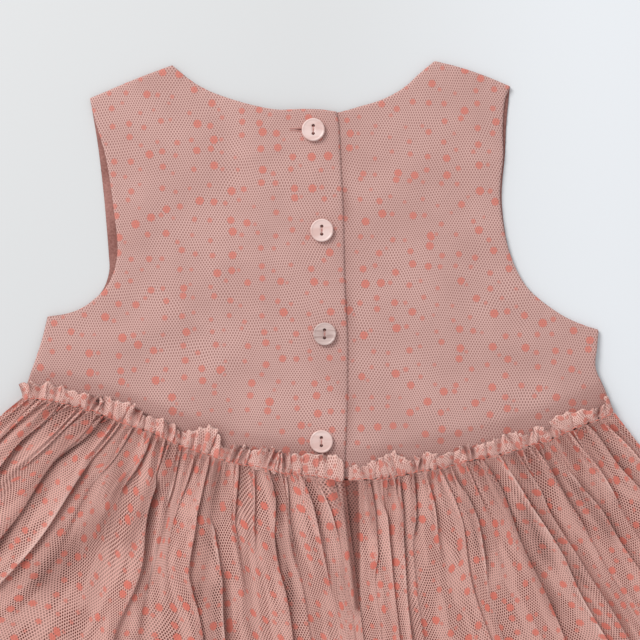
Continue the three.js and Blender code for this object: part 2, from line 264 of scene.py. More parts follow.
def printed_dots(wire, across, along, holes, cell):
    """How much print lies on the cloth: full on a large dot, fainter on a small one, none between them.

    The print takes on threads first, so the holes make a dot's edge ragged."""
    place = wire.node("ShaderNodeCombineXYZ", {}, {0: across / cell, 1: along / cell, 2: 0.0})
    settings = {"voronoi_dimensions": "2D"}
    sockets = {"Vector": place, "Scale": 1.0, "Randomness": 0.78}
    distance = wire.node("ShaderNodeTexVoronoi", settings, sockets)
    random_colour = Wire(wire.tree, distance.socket.node.outputs["Color"])
    pick = wire.node("ShaderNodeSeparateColor", {}, {0: random_colour})
    radius = dot_radii[0] + (dot_radii[1] - dot_radii[0]) * pick * (0.4 + 0.6 * pick)
    return (radius - distance * cell - holes * 0.45).ease(-0.45, 0.4) * (0.6 + 0.4 * pick)


def kept_on(wire, title):
    """A value from 0 to 1 kept with the mesh's points, such as how deep in shade each place lies."""
    return wire.node("ShaderNodeAttribute", {"attribute_name": title}, output=2)


print("holes in a square centimetre of net:", round(100 / (hole_step * hole_row)))

# %% [markdown]
# ### Table
#
# The dress lies on a smooth pale table. It isn't part of the dress.

# %% Table
table_finish, table_shader, table_wire = start_material("pale_table", 0.55)
table_place = table_wire.node("ShaderNodeTexCoord", output=3)
table_across = table_wire.node("ShaderNodeSeparateXYZ", {}, {0: table_place})
# The table is painted lighter towards the right, as painted light.
table_colour_painted_light = table_across.ease(0.0, 0.18).colour(linear(220, 222, 223), linear(236, 240, 244))
table_wire.tree.links.new(table_colour_painted_light.socket, table_shader.inputs["Base Color"])
table_half = 1.6
table_low = -0.0003
table_mesh = bpy.data.meshes.new("table")
table_mesh.from_pydata([(-table_half, -table_half, table_low), (table_half, -table_half, table_low),
                        (table_half, table_half, table_low), (-table_half, table_half, table_low)],
                       [], [(0, 1, 2, 3)])
table_mesh.materials.append(table_finish)
table = bpy.data.objects.new("table", table_mesh)
bpy.context.scene.collection.objects.link(table)

# %% [markdown]
# ### Bodice cloth
#
# Net and lining are cut and sewn as one cloth. The colour goes from thread to hole, then to coral where
# a dot lies, and a large soft noise keeps it from being as even as paint. A Bump node lifts the threads.
# The same cloth without its lining, drawn up double, makes the heading above the waist, with its threads
# painted lighter, as painted light.


# %% Bodice cloth
def bodice_cloth(name, thread, hole, dot, shaded, cell):
    material, shader, wire = start_material(name, 0.85, sheen=0.15)
    across, along = cloth_places(wire)
    sway = noise(wire, across, along, 60.0, seed=2.0)
    drift = noise(wire, across, along, 50.0, seed=9.0)
    holes = net_holes(across + sway * 14.0, along + drift * 12.0, 0.16, 0.68)
    tone = noise(wire, across, along, 30.0, detail=3.0, seed=7.0).ease(0.3, 0.7, 0.0, 0.2)
    cloth = (holes * (1.0 - kept_on(wire, "edge") * 0.6)).colour(thread, hole)
    uneven = tone.colour(cloth, hole)
    dots = printed_dots(wire, across, along, holes, cell)
    printed = (dots * (0.88 - holes * 0.4)).colour(uneven, dot)
    # Where shade is kept with the mesh, the cloth is painted darker, as painted shade.
    coloured = (kept_on(wire, "shade") * 0.85).colour(printed, shaded)
    wire.tree.links.new(coloured.socket, shader.inputs["Base Color"])
    crumple = noise(wire, across, along, 3.5, detail=3.0, seed=4.0)
    bump = wire.node("ShaderNodeBump", {}, {
        "Strength": 0.35, "Distance": 0.0005, "Height": crumple * 1.4 - holes * 0.6})
    wire.tree.links.new(bump.socket, shader.inputs["Normal"])
    return material


coral = linear(219, 119, 103)
rose_net = bodice_cloth("rose_net_over_lining", linear(229, 187, 179), linear(155, 112, 105), coral,
                        linear(120, 70, 62), flat_cell)
# The heading's threads are painted lighter than the rest of the net, as painted light.
heading_net_painted_light = bodice_cloth("doubled_net", linear(255, 214, 203), linear(170, 110, 100), coral,
                           linear(112, 56, 50), doubled_cell)

# %% [markdown]
# ### Lining
#
# The lining is a plain cotton lawn in a deeper rose. Its weave is finer than the picture can show, so it
# is only a slight roughness in colour and height. Hardly any light reaches the bottom of a hollow
# between two folds, and the shade kept with the mesh darkens the lawn there.


# %% Lining
def plain_lining(name, light, deep, shaded, weave_size):
    material, shader, wire = start_material(name, 0.8, sheen=0.1)
    across, along = cloth_places(wire)
    weave = noise(wire, across, along, weave_size, detail=1.0)
    cloud = noise(wire, across, along, 24.0, detail=3.0, seed=5.0)
    lawn = (weave * 0.4 + cloud * 0.6).ease(0.3, 0.7).colour(light, deep)
    coloured = kept_on(wire, "shade").colour(lawn, shaded)
    wire.tree.links.new(coloured.socket, shader.inputs["Base Color"])
    bump = wire.node("ShaderNodeBump", {}, {"Strength": 0.25, "Distance": 0.0002, "Height": weave})
    wire.tree.links.new(bump.socket, shader.inputs["Normal"])
    return material


deep_shade = linear(84, 38, 32)
# The skirt's lawn is painted darker than the bodice's, as painted shade under the net.
skirt_lawn_painted_shade = plain_lining("skirt_lawn_painted_shade", linear(156, 90, 79), linear(134, 74, 64), deep_shade, 0.6)
bodice_lawn = plain_lining("bodice_lawn", linear(192, 140, 131), linear(140, 92, 84), deep_shade, 1.1)


# %% [markdown]
# ### Skirt net
#
# The same net with nothing behind it. Its threads are lighter than its shadowed holes, and the print
# closes most of each hole under a dot. Its threads are painted darker, as painted shade, where a fold lies
# under its neighbour. Along the edge of a fold they crowd together and close the holes, and they are
# painted paler there, as a painted highlight, which looks like a pale line. Where the cloth lies on
# more of itself, its holes are filled by the layer behind, in streaks that run down the folds.


# %% Skirt net
layer_streak, layer_stretch, layer_closed = 6.5, 5, 0.45


def open_net(name, thread, pale, dot, shaded):
    material, shader, wire = start_material(name, 0.8, sheen=0.2)
    across, along = cloth_places(wire)
    sway = noise(wire, across, along, 60.0, seed=4.0)
    drift = noise(wire, across, along, 50.0, seed=9.0)
    holes = net_holes(across + sway * 10.0, along + drift * 9.0, 0.28, 0.54)
    dots = printed_dots(wire, across, along, holes, gathered_cell)
    edge = kept_on(wire, "edge")
    streaks = noise(wire, across, along / layer_stretch, layer_streak, detail=1.0, seed=21.0)
    behind = streaks.ease(0.42, 0.58) * layer_closed
    # Along a fold's edge the threads are painted paler, as a painted highlight; where shade is kept they are
    # painted darker, as painted shade.
    printed = (dots * 0.98).colour((edge * 0.8).colour(thread, pale), dot)
    coloured = (kept_on(wire, "shade") * 0.9).colour(printed, shaded)
    wire.tree.links.new(coloured.socket, shader.inputs["Base Color"])
    solid = 1 - holes * (1 - dots * 0.8) * (1 - edge * 0.8) * (1 - behind)
    wire.tree.links.new(solid.socket, shader.inputs["Alpha"])
    crumple = noise(wire, across, along, 4.0, detail=3.0, seed=4.0)
    bump = wire.node("ShaderNodeBump", {}, {"Strength": 0.5, "Distance": 0.0008, "Height": crumple})
    wire.tree.links.new(bump.socket, shader.inputs["Normal"])
    return material


skirt_net = open_net("dotted_net", linear(224, 174, 163), linear(250, 210, 199), coral, linear(112, 58, 50))

# %% [markdown]
# ## Lines of the pattern
#
# The outline is a few points for each edge, as a pattern maker marks them, and a smooth line goes
# through them. Where two edges meet at a corner, such as the underarm, the line stops and starts again.

# %% Edge tables
waist_points = [(-149, -39), (-125, -42.5), (-90, -54.5), (-50, -69.5), (0, -78.8), (30, -79.3),
                (75, -70.8), (110, -61.5), (147, -46)]

# Side seam, underarm and armhole of the back, left and right, in pairs from the waist to the shoulder
back_left_edge = [(-149, -39), (-144.5, -28), (-141.3, -19), (-138.2, -9), (-135.8, 1.1), (-127, 2.4),
                  (-119.2, 5.1), (-112.5, 9.8), (-106.5, 15.8), (-102.6, 24), (-100.9, 33.2), (-101.2, 42),
                  (-102.6, 53), (-103.8, 63), (-106.5, 79.7), (-109.5, 90.7), (-113.1, 103.1),
                  (-114.75, 110.5)]
back_right_edge = [(147, -46), (142, -35.5), (137.4, -24.5), (138.2, -14.3), (139.1, -5.6), (131, -3),
                   (121, 1.6), (109.3, 9.8), (102.4, 16.8), (97.2, 25.9), (93.6, 36), (91, 48),
                   (89.6, 60), (90, 70), (91.2, 82), (90.9, 95), (92, 109), (94.7, 116.5)]

# The front's armholes are cut a little shallower
front_left_edge = back_left_edge[:5] + [(-127, 2), (-119.2, 4.3), (-112.5, 9), (-107.3, 15.4), (-104.6, 24),
                                        (-104.9, 33), (-105.7, 43), (-106.6, 53), (-107.6, 63),
                                        (-109.6, 79.7), (-111.2, 90.7), (-113.4, 103.1), (-114.75, 110.5)]
front_right_edge = back_right_edge[:5] + [(131, -3.4), (121, 1), (109.3, 9), (102, 16), (97.2, 25.2),
                                          (93.8, 36), (91.6, 48), (90.6, 60), (91, 70), (92.2, 82),
                                          (92.9, 97), (94, 109), (94.7, 116.5)]
underarm = 4

# Shoulder and neck, from left to right
left_top = [(-114.75, 110.5), (-101, 116.4), (-87.4, 122), (-73.65, 127.1), (-64.5, 119.6), (-56, 114.6),
            (-45, 110.4), (-33.2, 106.9), (-21.2, 104.7), (-10, 105), (0, 104.8), (8.25, 103.7)]
left_top_corner = 3
right_top = [(-16.75, 103.6), (-4, 103.4), (8.25, 103.4), (20.3, 106.6), (29, 109.2), (36.5, 112.6),
             (43.1, 117), (49.1, 122.6), (57.05, 129.25), (69.1, 126.2), (81.85, 121.9), (94.7, 116.5)]
right_top_corner = 8
front_top = [(-114.75, 110.5), (-101, 116.4), (-87.4, 122), (-73.65, 127.1), (-68.5, 114), (-60, 101),
             (-46, 88.5), (-28, 80.5), (-8, 78), (12, 80.5), (30, 89), (43, 101), (51.5, 115),
             (57.05, 129.25), (75.6, 124.2), (94.7, 116.5)]
front_top_corners = (3, 13)

# The soft rim of sewn cloth stands a little outside the pattern's line, and the front's armhole a
# little further
rim_out = 0.7
front_out = 0.6


def rim_line(points, x_step, bow=0.0):
    """An edge moved outwards by the rim, but not at the waist, and bowed in its middle."""
    last = len(points) - 1
    return [points[0]] + [(x + x_step + bow * math.sin(math.pi * number / last), y + rim_out)
                          for number, (x, y) in enumerate(points[1:], 1)]


def rim_top(points):
    reach = points[-1][0] if points[-1][0] > 50 else -points[0][0]
    return [(x * (1 + rim_out / reach), y + rim_out) for x, y in points]


back_left_edge = rim_line(back_left_edge, -rim_out)
back_right_edge = rim_line(back_right_edge, rim_out)
front_left_edge = rim_line(front_left_edge, -rim_out, -front_out)
front_right_edge = rim_line(front_right_edge, rim_out)
left_top, right_top, front_top = rim_top(left_top), rim_top(right_top), rim_top(front_top)

# Right edge of the left half, which laps over the right one, from the waist up
placket_points = [(12.3, -78.8), (13, -60), (13.95, -37), (13.95, -10), (12.5, 16.5), (11.9, 50), (10.6, 77),
                  (9.6, 96.5), (8.25, 103.7)]


# %% A smooth line through points
def line_through(points, counts, corners=()):
    """Places on a smooth line through the points, at fractional counts along them."""
    points = np.asarray(points, float)
    counts = np.asarray(counts, float)
    ends = sorted({0, len(points) - 1, *corners})
    places = np.empty((len(counts), points.shape[1]))
    for first, last in zip(ends[:-1], ends[1:]):
        part = points[first:last + 1]
        knots = np.vstack([2 * part[0] - part[1], part, 2 * part[-1] - part[-2]])
        here = (counts >= first) & (counts <= last)
        index = np.minimum((counts[here] - first).astype(int), last - first - 1)
        share = (counts[here] - first - index)[:, None]
        before, start, end, after = (knots[index + step] for step in range(4))
        places[here] = 0.5 * (2 * start + (end - before) * share
                              + (2 * before - 5 * start + 4 * end - after) * share ** 2
                              + (3 * start - before - 3 * end + after) * share ** 3)
    return places


def lengths_along(points):
    """Distance of each point from the first, measured along the line."""
    steps = np.hypot(*np.diff(np.asarray(points, float)[:, :2], axis=0).T)
    return np.concatenate([[0.0], np.cumsum(steps)])


waist_steps = 4001
waist_line = line_through(waist_points, np.linspace(0, len(waist_points) - 1, waist_steps))
waist_lengths = lengths_along(waist_line)
waist_length = waist_lengths[-1]
waist_shares = waist_lengths / waist_length


def waist_at(share):
    """Points on the waist stitches at shares of their length."""
    return np.stack([np.interp(share, waist_shares, waist_line[:, axis]) for axis in (0, 1)], axis=-1)


def waist_share(x):
    return np.interp(x, waist_line[:, 0], waist_shares)


def placket_x(y):
    xs, ys = zip(*placket_points)
    return np.interp(y, ys, xs)


def smooth_between(value, start, end):
    share = np.clip((value - start) / (end - start), 0, 1)
    return share * share * (3 - 2 * share)


print("waist stitches, mm:", round(waist_length, 1))

# %% [markdown]
# ## From a grid to cloth
#
# Every panel is a grid of points. A bodice panel is a closed wall, with a top face, a flat underside and
# a rounded rim, because two cloths sewn and turned have a soft thick edge. Each point keeps its place in
# the flat cloth as a UV, so that net and dots follow the cloth through its folds.


# %% Make a mesh from a grid
def grid_faces(rows, columns, first=0):
    corner = first + np.arange(rows * columns).reshape(rows, columns)[:-1, :-1]
    return np.stack([corner, corner + 1, corner + columns + 1, corner + columns], axis=-1).reshape(-1, 4)


def add_piece(name, mesh, material, replaced=()):
    """A smooth piece of the dress, which rides with the frame and shows in place of its solids."""
    mesh.materials.append(material)
    mesh.shade_smooth()
    piece = bpy.data.objects.new(name, mesh)
    bpy.context.scene.collection.objects.link(piece)
    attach(piece, "root")
    if replaced:
        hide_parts(*replaced)
    return piece


def make_piece(name, points, faces, flat, material, replaced, kept):
    """A piece from points in the drawing. It keeps its places in the flat cloth and a few values."""
    mesh = bpy.data.meshes.new(name)
    mesh.from_pydata(in_frame(points).tolist(), [], faces.tolist())
    layer = mesh.uv_layers.new(name="cloth")
    layer.data.foreach_set("uv", (flat[faces].reshape(-1, 2) * MM).ravel())
    for title, values in kept.items():
        layer = mesh.attributes.new(title, "FLOAT", "POINT")
        layer.data.foreach_set("value", np.asarray(values, np.float32).ravel())
    print(name, "faces:", len(faces))
    return add_piece(name, mesh, material, replaced)


def open_sheet(name, points, flat, material, slot, replaced, **kept):
    """A single layer of cloth."""
    rows, columns = points.shape[:2]
    return make_piece(name, points.reshape(-1, 3), grid_faces(rows, columns), flat.reshape(-1, 2),
                      material, replaced, kept)


def closed_wall(name, top, low, flat, material, slot, replaced, **kept):
    """A cloth with a top face, an underside at the low heights, and a rim between them."""
    rows, columns = top.shape[:2]
    under = top.copy()
    under[..., 2] = low
    above = grid_faces(rows, columns)
    below = grid_faces(rows, columns, first=rows * columns)[:, ::-1]
    index = np.arange(rows * columns).reshape(rows, columns)
    ring = np.concatenate([index[0], index[1:, -1], index[-1, -2::-1], index[-2:0:-1, 0]])
    following = np.roll(ring, -1)
    rim = np.stack([following, ring, ring + rows * columns, following + rows * columns], axis=-1)
    both = {title: np.tile(values.ravel(), 2) for title, values in kept.items()}
    return make_piece(name, np.concatenate([top.reshape(-1, 3), under.reshape(-1, 3)]),
                      np.concatenate([above, below, rim]), np.tile(flat.reshape(-1, 2), (2, 1)),
                      material, replaced, both)


# %% [markdown]
# ## Bodice
#
# Three panels lie on each other: the front with its inside up, the right back half, and the left back
# half, whose edge laps over the right one. Each is a grid between its four edges. The heights are those
# of the frame's solids, with the same soft folds, and near an edge the cloth rounds down and puckers a
# little where it is stitched.

# %% Heights and folds of the bodice
bodice_wall = 1.2
panel_gap = 0.4
back_low = bodice_wall + panel_gap
lap_lift = bodice_wall + panel_gap
waist_lift = 1.3
bodice_length = 185.0
waist_lift_full, waist_lift_end = 25.0, 45.0
lap_rise_end, lap_rise_start = 40.0, 58.0
underlap_width = 25.0
heading_tall = 11.0

# Soft folds: middle x and y, run in degrees, reach, width and height
bodice_folds = [
    (-98, -12, 28, 34, 9, 1.6),
    (-70, -38, 32, 26, 8, 1.1),
    (-88, 60, 84, 26, 8, 0.9),
    (-40, 44, 62, 30, 11, 0.8),
    (62, 30, -58, 34, 11, 0.9),
    (104, -16, -30, 28, 8, 1.5),
    (84, -44, -24, 26, 8, 1.0),
    (78, 84, -80, 22, 8, 0.8),
    (40, 66, 20, 22, 10, 0.7),
    (-52, -8, -35, 16, 3, 0.45),
    (-44, -19, -30, 14, 2.6, 0.4),
    (-32, 3, -24, 12, 2.6, 0.35),
    (-62, -41, -26, 24, 3.2, 0.5),
    (-28, 84, 20, 18, 3.5, 0.4),
    (32, -58, 12, 20, 3.5, 0.4),
]


def waist_rise(above):
    return waist_lift * (1 - smooth_between(above, waist_lift_full, waist_lift_end))


def lap_rise(x, y):
    return lap_lift * (1 - smooth_between(placket_x(y) - x, lap_rise_end, lap_rise_start))


def lap_curl(x, y):
    """The lap's edge bends down to the cloth under it, closer in some places than in others."""
    return (-0.2 + 0.14 * np.sin(y / 15 + 1)) * np.exp(-(placket_x(y) - x) / 5)


def fold_rise(x, y, above):
    rise = np.zeros_like(x)
    for middle_x, middle_y, run, reach, width, height in bodice_folds:
        turn = math.radians(run)
        along = (x - middle_x) * math.cos(turn) + (y - middle_y) * math.sin(turn)
        aside = (y - middle_y) * math.cos(turn) - (x - middle_x) * math.sin(turn)
        rise += height * np.exp(-(along / reach) ** 2 - (aside / width) ** 2)
    return rise * smooth_between(above, waist_lift_full, waist_lift_end)


def lapped_low(x, y, above):
    """Underside of the left half, which laps over the right one."""
    return back_low + waist_rise(above) + lap_rise(x, y) + fold_rise(x, y, above) + lap_curl(x, y)


# %% A panel between four edges
rim_steps = np.array([0.0, 0.12, 0.35, 0.7, 1.2])
rim_round = 1.2
roll_width = 3.0
roll_drop = 0.45
pucker_depth = 0.16
cloth_step = 1.3


edge_length = 150.0


def shares_with_rim(length):
    """Shares along a length, close together at both ends where the cloth rounds down."""
    inner = np.linspace(rim_steps[-1] + cloth_step, length - rim_steps[-1] - cloth_step,
                        int(length / cloth_step))
    return np.concatenate([rim_steps, inner, length - rim_steps[::-1]]) / length


def edge_distances(x, y):
    """How far each point of a grid is from the grid's edge, and how far along the edge that is."""
    index = np.arange(x.size).reshape(x.shape)
    ring = np.concatenate([index[0], index[1:, -1], index[-1, -2::-1], index[-2:0:-1, 0]])
    edge = np.stack([x.ravel()[ring], y.ravel()[ring]], axis=-1)
    along = lengths_along(edge)
    tree = kdtree.KDTree(len(ring))
    for number, (edge_x, edge_y) in enumerate(edge):
        tree.insert((edge_x, edge_y, 0), number)
    tree.balance()
    found = [tree.find((point_x, point_y, 0)) for point_x, point_y in zip(x.ravel(), y.ravel())]
    distance = np.array([hit[2] for hit in found]).reshape(x.shape)
    place = np.array([along[hit[1]] for hit in found]).reshape(x.shape)
    return distance, place


def bodice_grid(left_edge, right_edge, top, top_corners, waist_from, waist_to):
    """Places of a bodice panel, with each row's height above the waist."""
    up = lengths_along(left_edge)
    across = lengths_along(top)
    row_shares = shares_with_rim(edge_length)
    column_shares = shares_with_rim(lengths_along(top)[-1])
    row_counts = np.interp(row_shares, up / up[-1], np.arange(len(left_edge)))
    column_counts = np.interp(column_shares, across / across[-1], np.arange(len(top)))
    left = line_through(left_edge, row_counts, (underarm,))[:, None]
    right = line_through(right_edge, row_counts, (underarm,))[:, None]
    upper = line_through(top, column_counts, top_corners)[None]
    lower = waist_at(waist_from + (waist_to - waist_from) * column_shares)[None]
    u = column_shares[None, :, None]
    v = row_shares[:, None, None]
    places = left + (right - left) * u
    places = places + (1 - v) * (lower - (lower[:, :1] + (lower[:, -1:] - lower[:, :1]) * u))
    places = places + v * v * (upper - (upper[:, :1] + (upper[:, -1:] - upper[:, :1]) * u))
    return places[..., 0], places[..., 1], np.broadcast_to(v[..., 0] * bodice_length, places.shape[:2])


def bodice_panel(name, edges, heights, turn, material, slot, replaced, shade_at):
    """A bodice panel as a closed wall, its cloth turned by a few degrees from its neighbour's."""
    x, y, above = bodice_grid(*edges)
    low = heights(x, y, above)
    distance, place = edge_distances(x, y)
    rim = bodice_wall * (1 - np.sqrt(1 - (1 - np.clip(distance / rim_round, 0, 1)) ** 2)) * 0.85
    roll = roll_drop * (1 - np.clip(distance / roll_width, 0, 1)) ** 2
    pucker = pucker_depth * np.exp(-distance / 3.5) * (np.sin(place * 1.25) + 0.6 * np.sin(place * 0.71 + 1))
    top = np.stack([x, y, low + bodice_wall - rim - roll * 0.5 + pucker], axis=-1)
    top[..., 2] = np.maximum(top[..., 2], low + 0.12)
    angle = math.radians(turn)
    across = x * math.cos(angle) - y * math.sin(angle)
    along = x * math.sin(angle) + y * math.cos(angle)
    flat = np.stack([across, along], axis=-1)
    return closed_wall(name, top, low, flat, material, slot, replaced, shade=shade_at(x, y, above))


def heading_shade(x, y, above):
    """The heading keeps the light from the bodice beside it."""
    return 0.3 * np.exp(-(np.maximum(above - heading_tall * 1.2, 0) / 3.5) ** 2)


def lap_shade(x, y, above):
    """The lap's edge keeps the light from the cloth beside it, more where it stands off."""
    aside = np.maximum(x - placket_x(y), 0)
    uneven = 0.24 + 0.14 * np.sin(y / 9 + 1) + 0.08 * np.sin(y / 4.1)
    return np.maximum(uneven * np.exp(-(aside / 3.2) ** 2), heading_shade(x, y, above))


def beside_placket(edge, waist_y, top_y, sideways):
    """The placket edge at the heights of another edge's points, moved sideways."""
    shares = lengths_along(edge) / lengths_along(edge)[-1]
    ys = waist_y + (top_y - waist_y) * shares
    return list(zip(placket_x(ys) + sideways, ys))


# %% Lay the bodice panels
left_turn, right_turn = -1.5, 1.0
placket_share = waist_share(placket_points[0][0])
underlap_share = waist_share(placket_points[0][0] - underlap_width)

# The front's lining, seen only at the armholes, is painted a little towards shade all over, as painted shade
# under the back.
front_bodice = bodice_panel(
    "front_bodice_cloth",
    (front_left_edge, front_right_edge, front_top, front_top_corners, 0.0, 1.0),
    lambda x, y, above: waist_rise(above), 0, bodice_lawn, "bodice_lining", ["front_bodice"],
    lambda x, y, above: np.full_like(x, 0.25))

underlap_edge = beside_placket(back_right_edge, waist_at(underlap_share)[1], right_top[0][1], -underlap_width)
back_right = bodice_panel(
    "back_right_cloth", (underlap_edge, back_right_edge, right_top, (right_top_corner,), underlap_share, 1.0),
    lambda x, y, above: back_low + waist_rise(above)
    + fold_rise(x, y, above) * smooth_between(x - placket_x(y), 0, 15),
    right_turn, rose_net, "bodice_cloth", ["back_bodice_right"], lap_shade)

lap_edge = beside_placket(back_left_edge, waist_at(placket_share)[1], left_top[-1][1], 0.0)
back_left = bodice_panel(
    "back_left_cloth", (back_left_edge, lap_edge, left_top, (left_top_corner,), 0.0, placket_share),
    lapped_low, left_turn, rose_net, "bodice_cloth", ["back_bodice_left"], heading_shade)

# %% [markdown]
# ## Skirt
#
# A party skirt is a strip of net about twice as long as the waist, drawn up on a thread. Each fold then
# has the section of a letter S: the cloth climbs to a lip, turns back under it, and goes on from there.
# Where it doubles back there are three layers, which look dense and pale, and between the folds there is
# one, through which the lining shows. The lips are placed as the photograph has them, by where
# each one lies at the seam and further down.

# %% How the skirt fans out
# Place along the waist, and direction from straight down in degrees
fan_points = [(-149, -50), (-126, -44), (-107, -39), (-96, -31), (-85, -22), (-70, -14), (-55, -7), (-35, 0),
              (-10, 5), (12.3, 6.5), (40, 9), (62, 16), (80, 23), (100, 29), (125, 34), (147, 38)]
skirt_length = 260.0
lining_length = 238.0
front_net_low = 0.1
front_lining_low = 1.3
back_lining_low = 2.6
net_low = 3.9


def fan_angle(x):
    xs, angles = zip(*fan_points)
    return np.radians(np.interp(x, xs, angles))


def skirt_place(share, down, aside=0.0):
    """Points of the skirt: share along the waist, length down the cloth, and a step aside."""
    start = waist_at(share)
    turn = fan_angle(start[..., 0])
    x = start[..., 0] + down * np.sin(turn) + aside * np.cos(turn)
    y = start[..., 1] - down * np.cos(turn) + aside * np.sin(turn)
    return x, y


# %% Hollows between the folds
# Place along the waist and length down the cloth at both ends, half width and strength
hollows = [
    (-107, 0, -112, 22, 3.0, 0.9), (-112, 22, -110, 51, 3.5, 1.0), (-110, 51, -108, 90, 3.0, 0.7),
    (-92, 2, -94, 18, 1.6, 0.7), (-88, 28, -86.7, 47, 2.6, 0.9), (-88.5, 51, -94.3, 88, 4.0, 0.8),
    (-76.4, 28, -77.3, 52, 2.6, 0.9), (-68.9, 3, -71, 20, 1.6, 0.6), (-50, 8, -52.4, 66, 3.0, 0.8),
    (-49, 66, -47, 90, 4.0, 0.7), (-24.8, 1, -21.6, 22, 2.0, 0.7), (-22.6, 36, -16.9, 64, 2.8, 0.9),
    (-16.3, 18, -15, 36, 1.8, 0.7), (7, 2, 9, 16, 1.6, 0.6), (25, 3, 24, 20, 1.8, 0.8),
    (40, 8, 36, 30, 1.8, 0.6), (46.8, 2, 43, 22, 1.8, 0.7), (68, 12, 67, 40, 2.6, 0.7),
    (82, 6, 83.5, 80, 2.4, 0.8), (88.7, 34, 88.6, 54, 4.0, 0.9), (96, 4, 97, 70, 2.6, 0.6),
    (109, 8, 108, 34, 2.2, 0.6), (113.9, 28, 115.7, 52, 3.0, 0.8), (134, 2, 137, 40, 2.2, 0.6),
    (-130, 4, -133, 60, 2.6, 0.6), (-143, 2, -144, 40, 2.2, 0.5),
]
hollow_fade = 8.0

# The opening below the placket narrows to nothing where the first fold of the right half meets the left half
slit_top, slit_foot, slit_length = 19.5, 12.9, 64.0


def hollow_shade(x, down):
    """How dark it is between the folds, at places along the waist and lengths down the cloth, from 0 to 1."""
    shade = np.zeros(np.broadcast(x, down).shape)
    for first_x, first_down, last_x, last_down, half_width, strength in hollows:
        along = np.clip((down - first_down) / (last_down - first_down), 0, 1)
        aside = (x - first_x - (last_x - first_x) * along) / half_width
        beyond = (down - np.clip(down, first_down, last_down)) / hollow_fade
        shade = np.maximum(shade, strength * np.exp(-aside ** 2 - beyond ** 2))
    return shade


def slit_shade(x, down):
    """How dark it is in the opening below the placket, from 0 to 1."""
    slit_edge = slit_top + (slit_foot - slit_top) * np.clip(down / slit_length, 0, 1)
    inside = smooth_between(x, placket_points[0][0] - 3, placket_points[0][0] - 1) * (
        1 - smooth_between(x, slit_edge - 0.8, slit_edge + 0.6))
    return inside * (1 - smooth_between(down, slit_length, slit_length + 4))


# %% Linings and the front net
def flat_skirt(name, length, low, wall, material, slot, replaced, ripple, grid, hollowed=0.0):
    """A skirt panel with no gathers, in soft waves."""
    rows, columns = grid
    shares = np.linspace(0, 1, columns)[None, :]
    down = np.linspace(0.5, length, rows)[:, None]
    x, y = skirt_place(np.broadcast_to(shares, grid), down)
    waves = np.sin(shares * 61 + 0.6 * np.sin(down / 60)) + 0.5 * np.sin(shares * 103 + 1.3)
    lift = ripple * (waves / 3 + 0.5) * smooth_between(down, 0, 60)
    top = np.stack([x, y, low + wall + lift], axis=-1)
    waist_x = waist_at(shares)[..., 0]
    # Where hollowed, the lawn is painted darker in the hollows and in the opening below the placket, as
    # painted shade.
    shade = hollowed * np.maximum(hollow_shade(waist_x, down), slit_shade(waist_x, down))
    flat = np.stack([x, y], axis=-1)
    return closed_wall(name, top, low + lift, flat, material, slot, replaced, shade=shade)


plain_grid, fine_grid = (50, 141), (90, 321)
front_net_wall, front_lining_wall, back_lining_wall = 0.7, 0.9, 0.8
hidden_ripple, back_ripple = 0.15, 0.35
front_net = flat_skirt(
    "front_net_cloth", skirt_length, front_net_low, front_net_wall, skirt_net, "dotted_net",
    ["skirt_net_front"], hidden_ripple, plain_grid)
front_lining = flat_skirt(
    "front_lining_cloth", lining_length, front_lining_low, front_lining_wall, skirt_lawn_painted_shade, "skirt_lining",
    ["skirt_lining_front"], hidden_ripple, plain_grid)
back_lining = flat_skirt(
    "back_lining_cloth", lining_length, back_lining_low, back_lining_wall, skirt_lawn_painted_shade, "skirt_lining",
    ["skirt_lining_back"], back_ripple, fine_grid, hollowed=1.0)

# %% Folds of the gathered net
# Each lip's place along the waist at the seam and 30, 60 and 90 mm down, its depth, how far it laps
# over, and the lengths down the cloth between which it does
left_folds = np.array([
    (-149, -149, -149, -149, 0.4, 0.0, 0, 0),
    (-139, -140, -141, -141, 0.8, 0.6, 0, 45),
    (-128, -130, -131, -131, 0.9, 0.9, 5, 220),
    (-118, -121, -121, -121, 0.6, 0.5, 0, 26),
    (-108, -112, -110.5, -110, 1.0, 1.1, 8, 260),
    (-99.5, -101, -101.5, -101.5, 0.9, 1.0, 30, 100),
    (-93.5, -95, -95, -94, 0.5, 0.6, 0, 20),
    (-84, -86, -85, -84, 0.9, 0.8, 8, 24),
    (-77.5, -75.5, -73.6, -73.4, 0.9, 1.0, 25, 220),
    (-69, -70.5, -68.5, -67, 0.6, 0.6, 0, 18),
    (-62, -66, -64, -59, 0.4, 0.4, 10, 30),
    (-55.4, -60, -58.5, -50, 1.0, 1.1, 0, 120),
    (-49, -52, -45, -43, 0.8, 0.8, 36, 110),
    (-41, -42, -37.5, -36, 0.7, 0.7, 0, 14),
    (-33, -33, -30.5, -28, 0.6, 0.5, 5, 28),
    (-25.6, -25.5, -20.8, -19.5, 1.0, 1.1, 0, 140),
    (-17.5, -16, -12, -10, 0.6, 0.5, 0, 26),
    (-10, -4, 0, 2, 0.8, 0.9, 0, 45),
    (-2, 7, 8.5, 9, 0.5, 0.6, 0, 16),
    (12.3, 12.3, 12.5, 12.7, 0.0, 0.0, 0, 0),
], float)
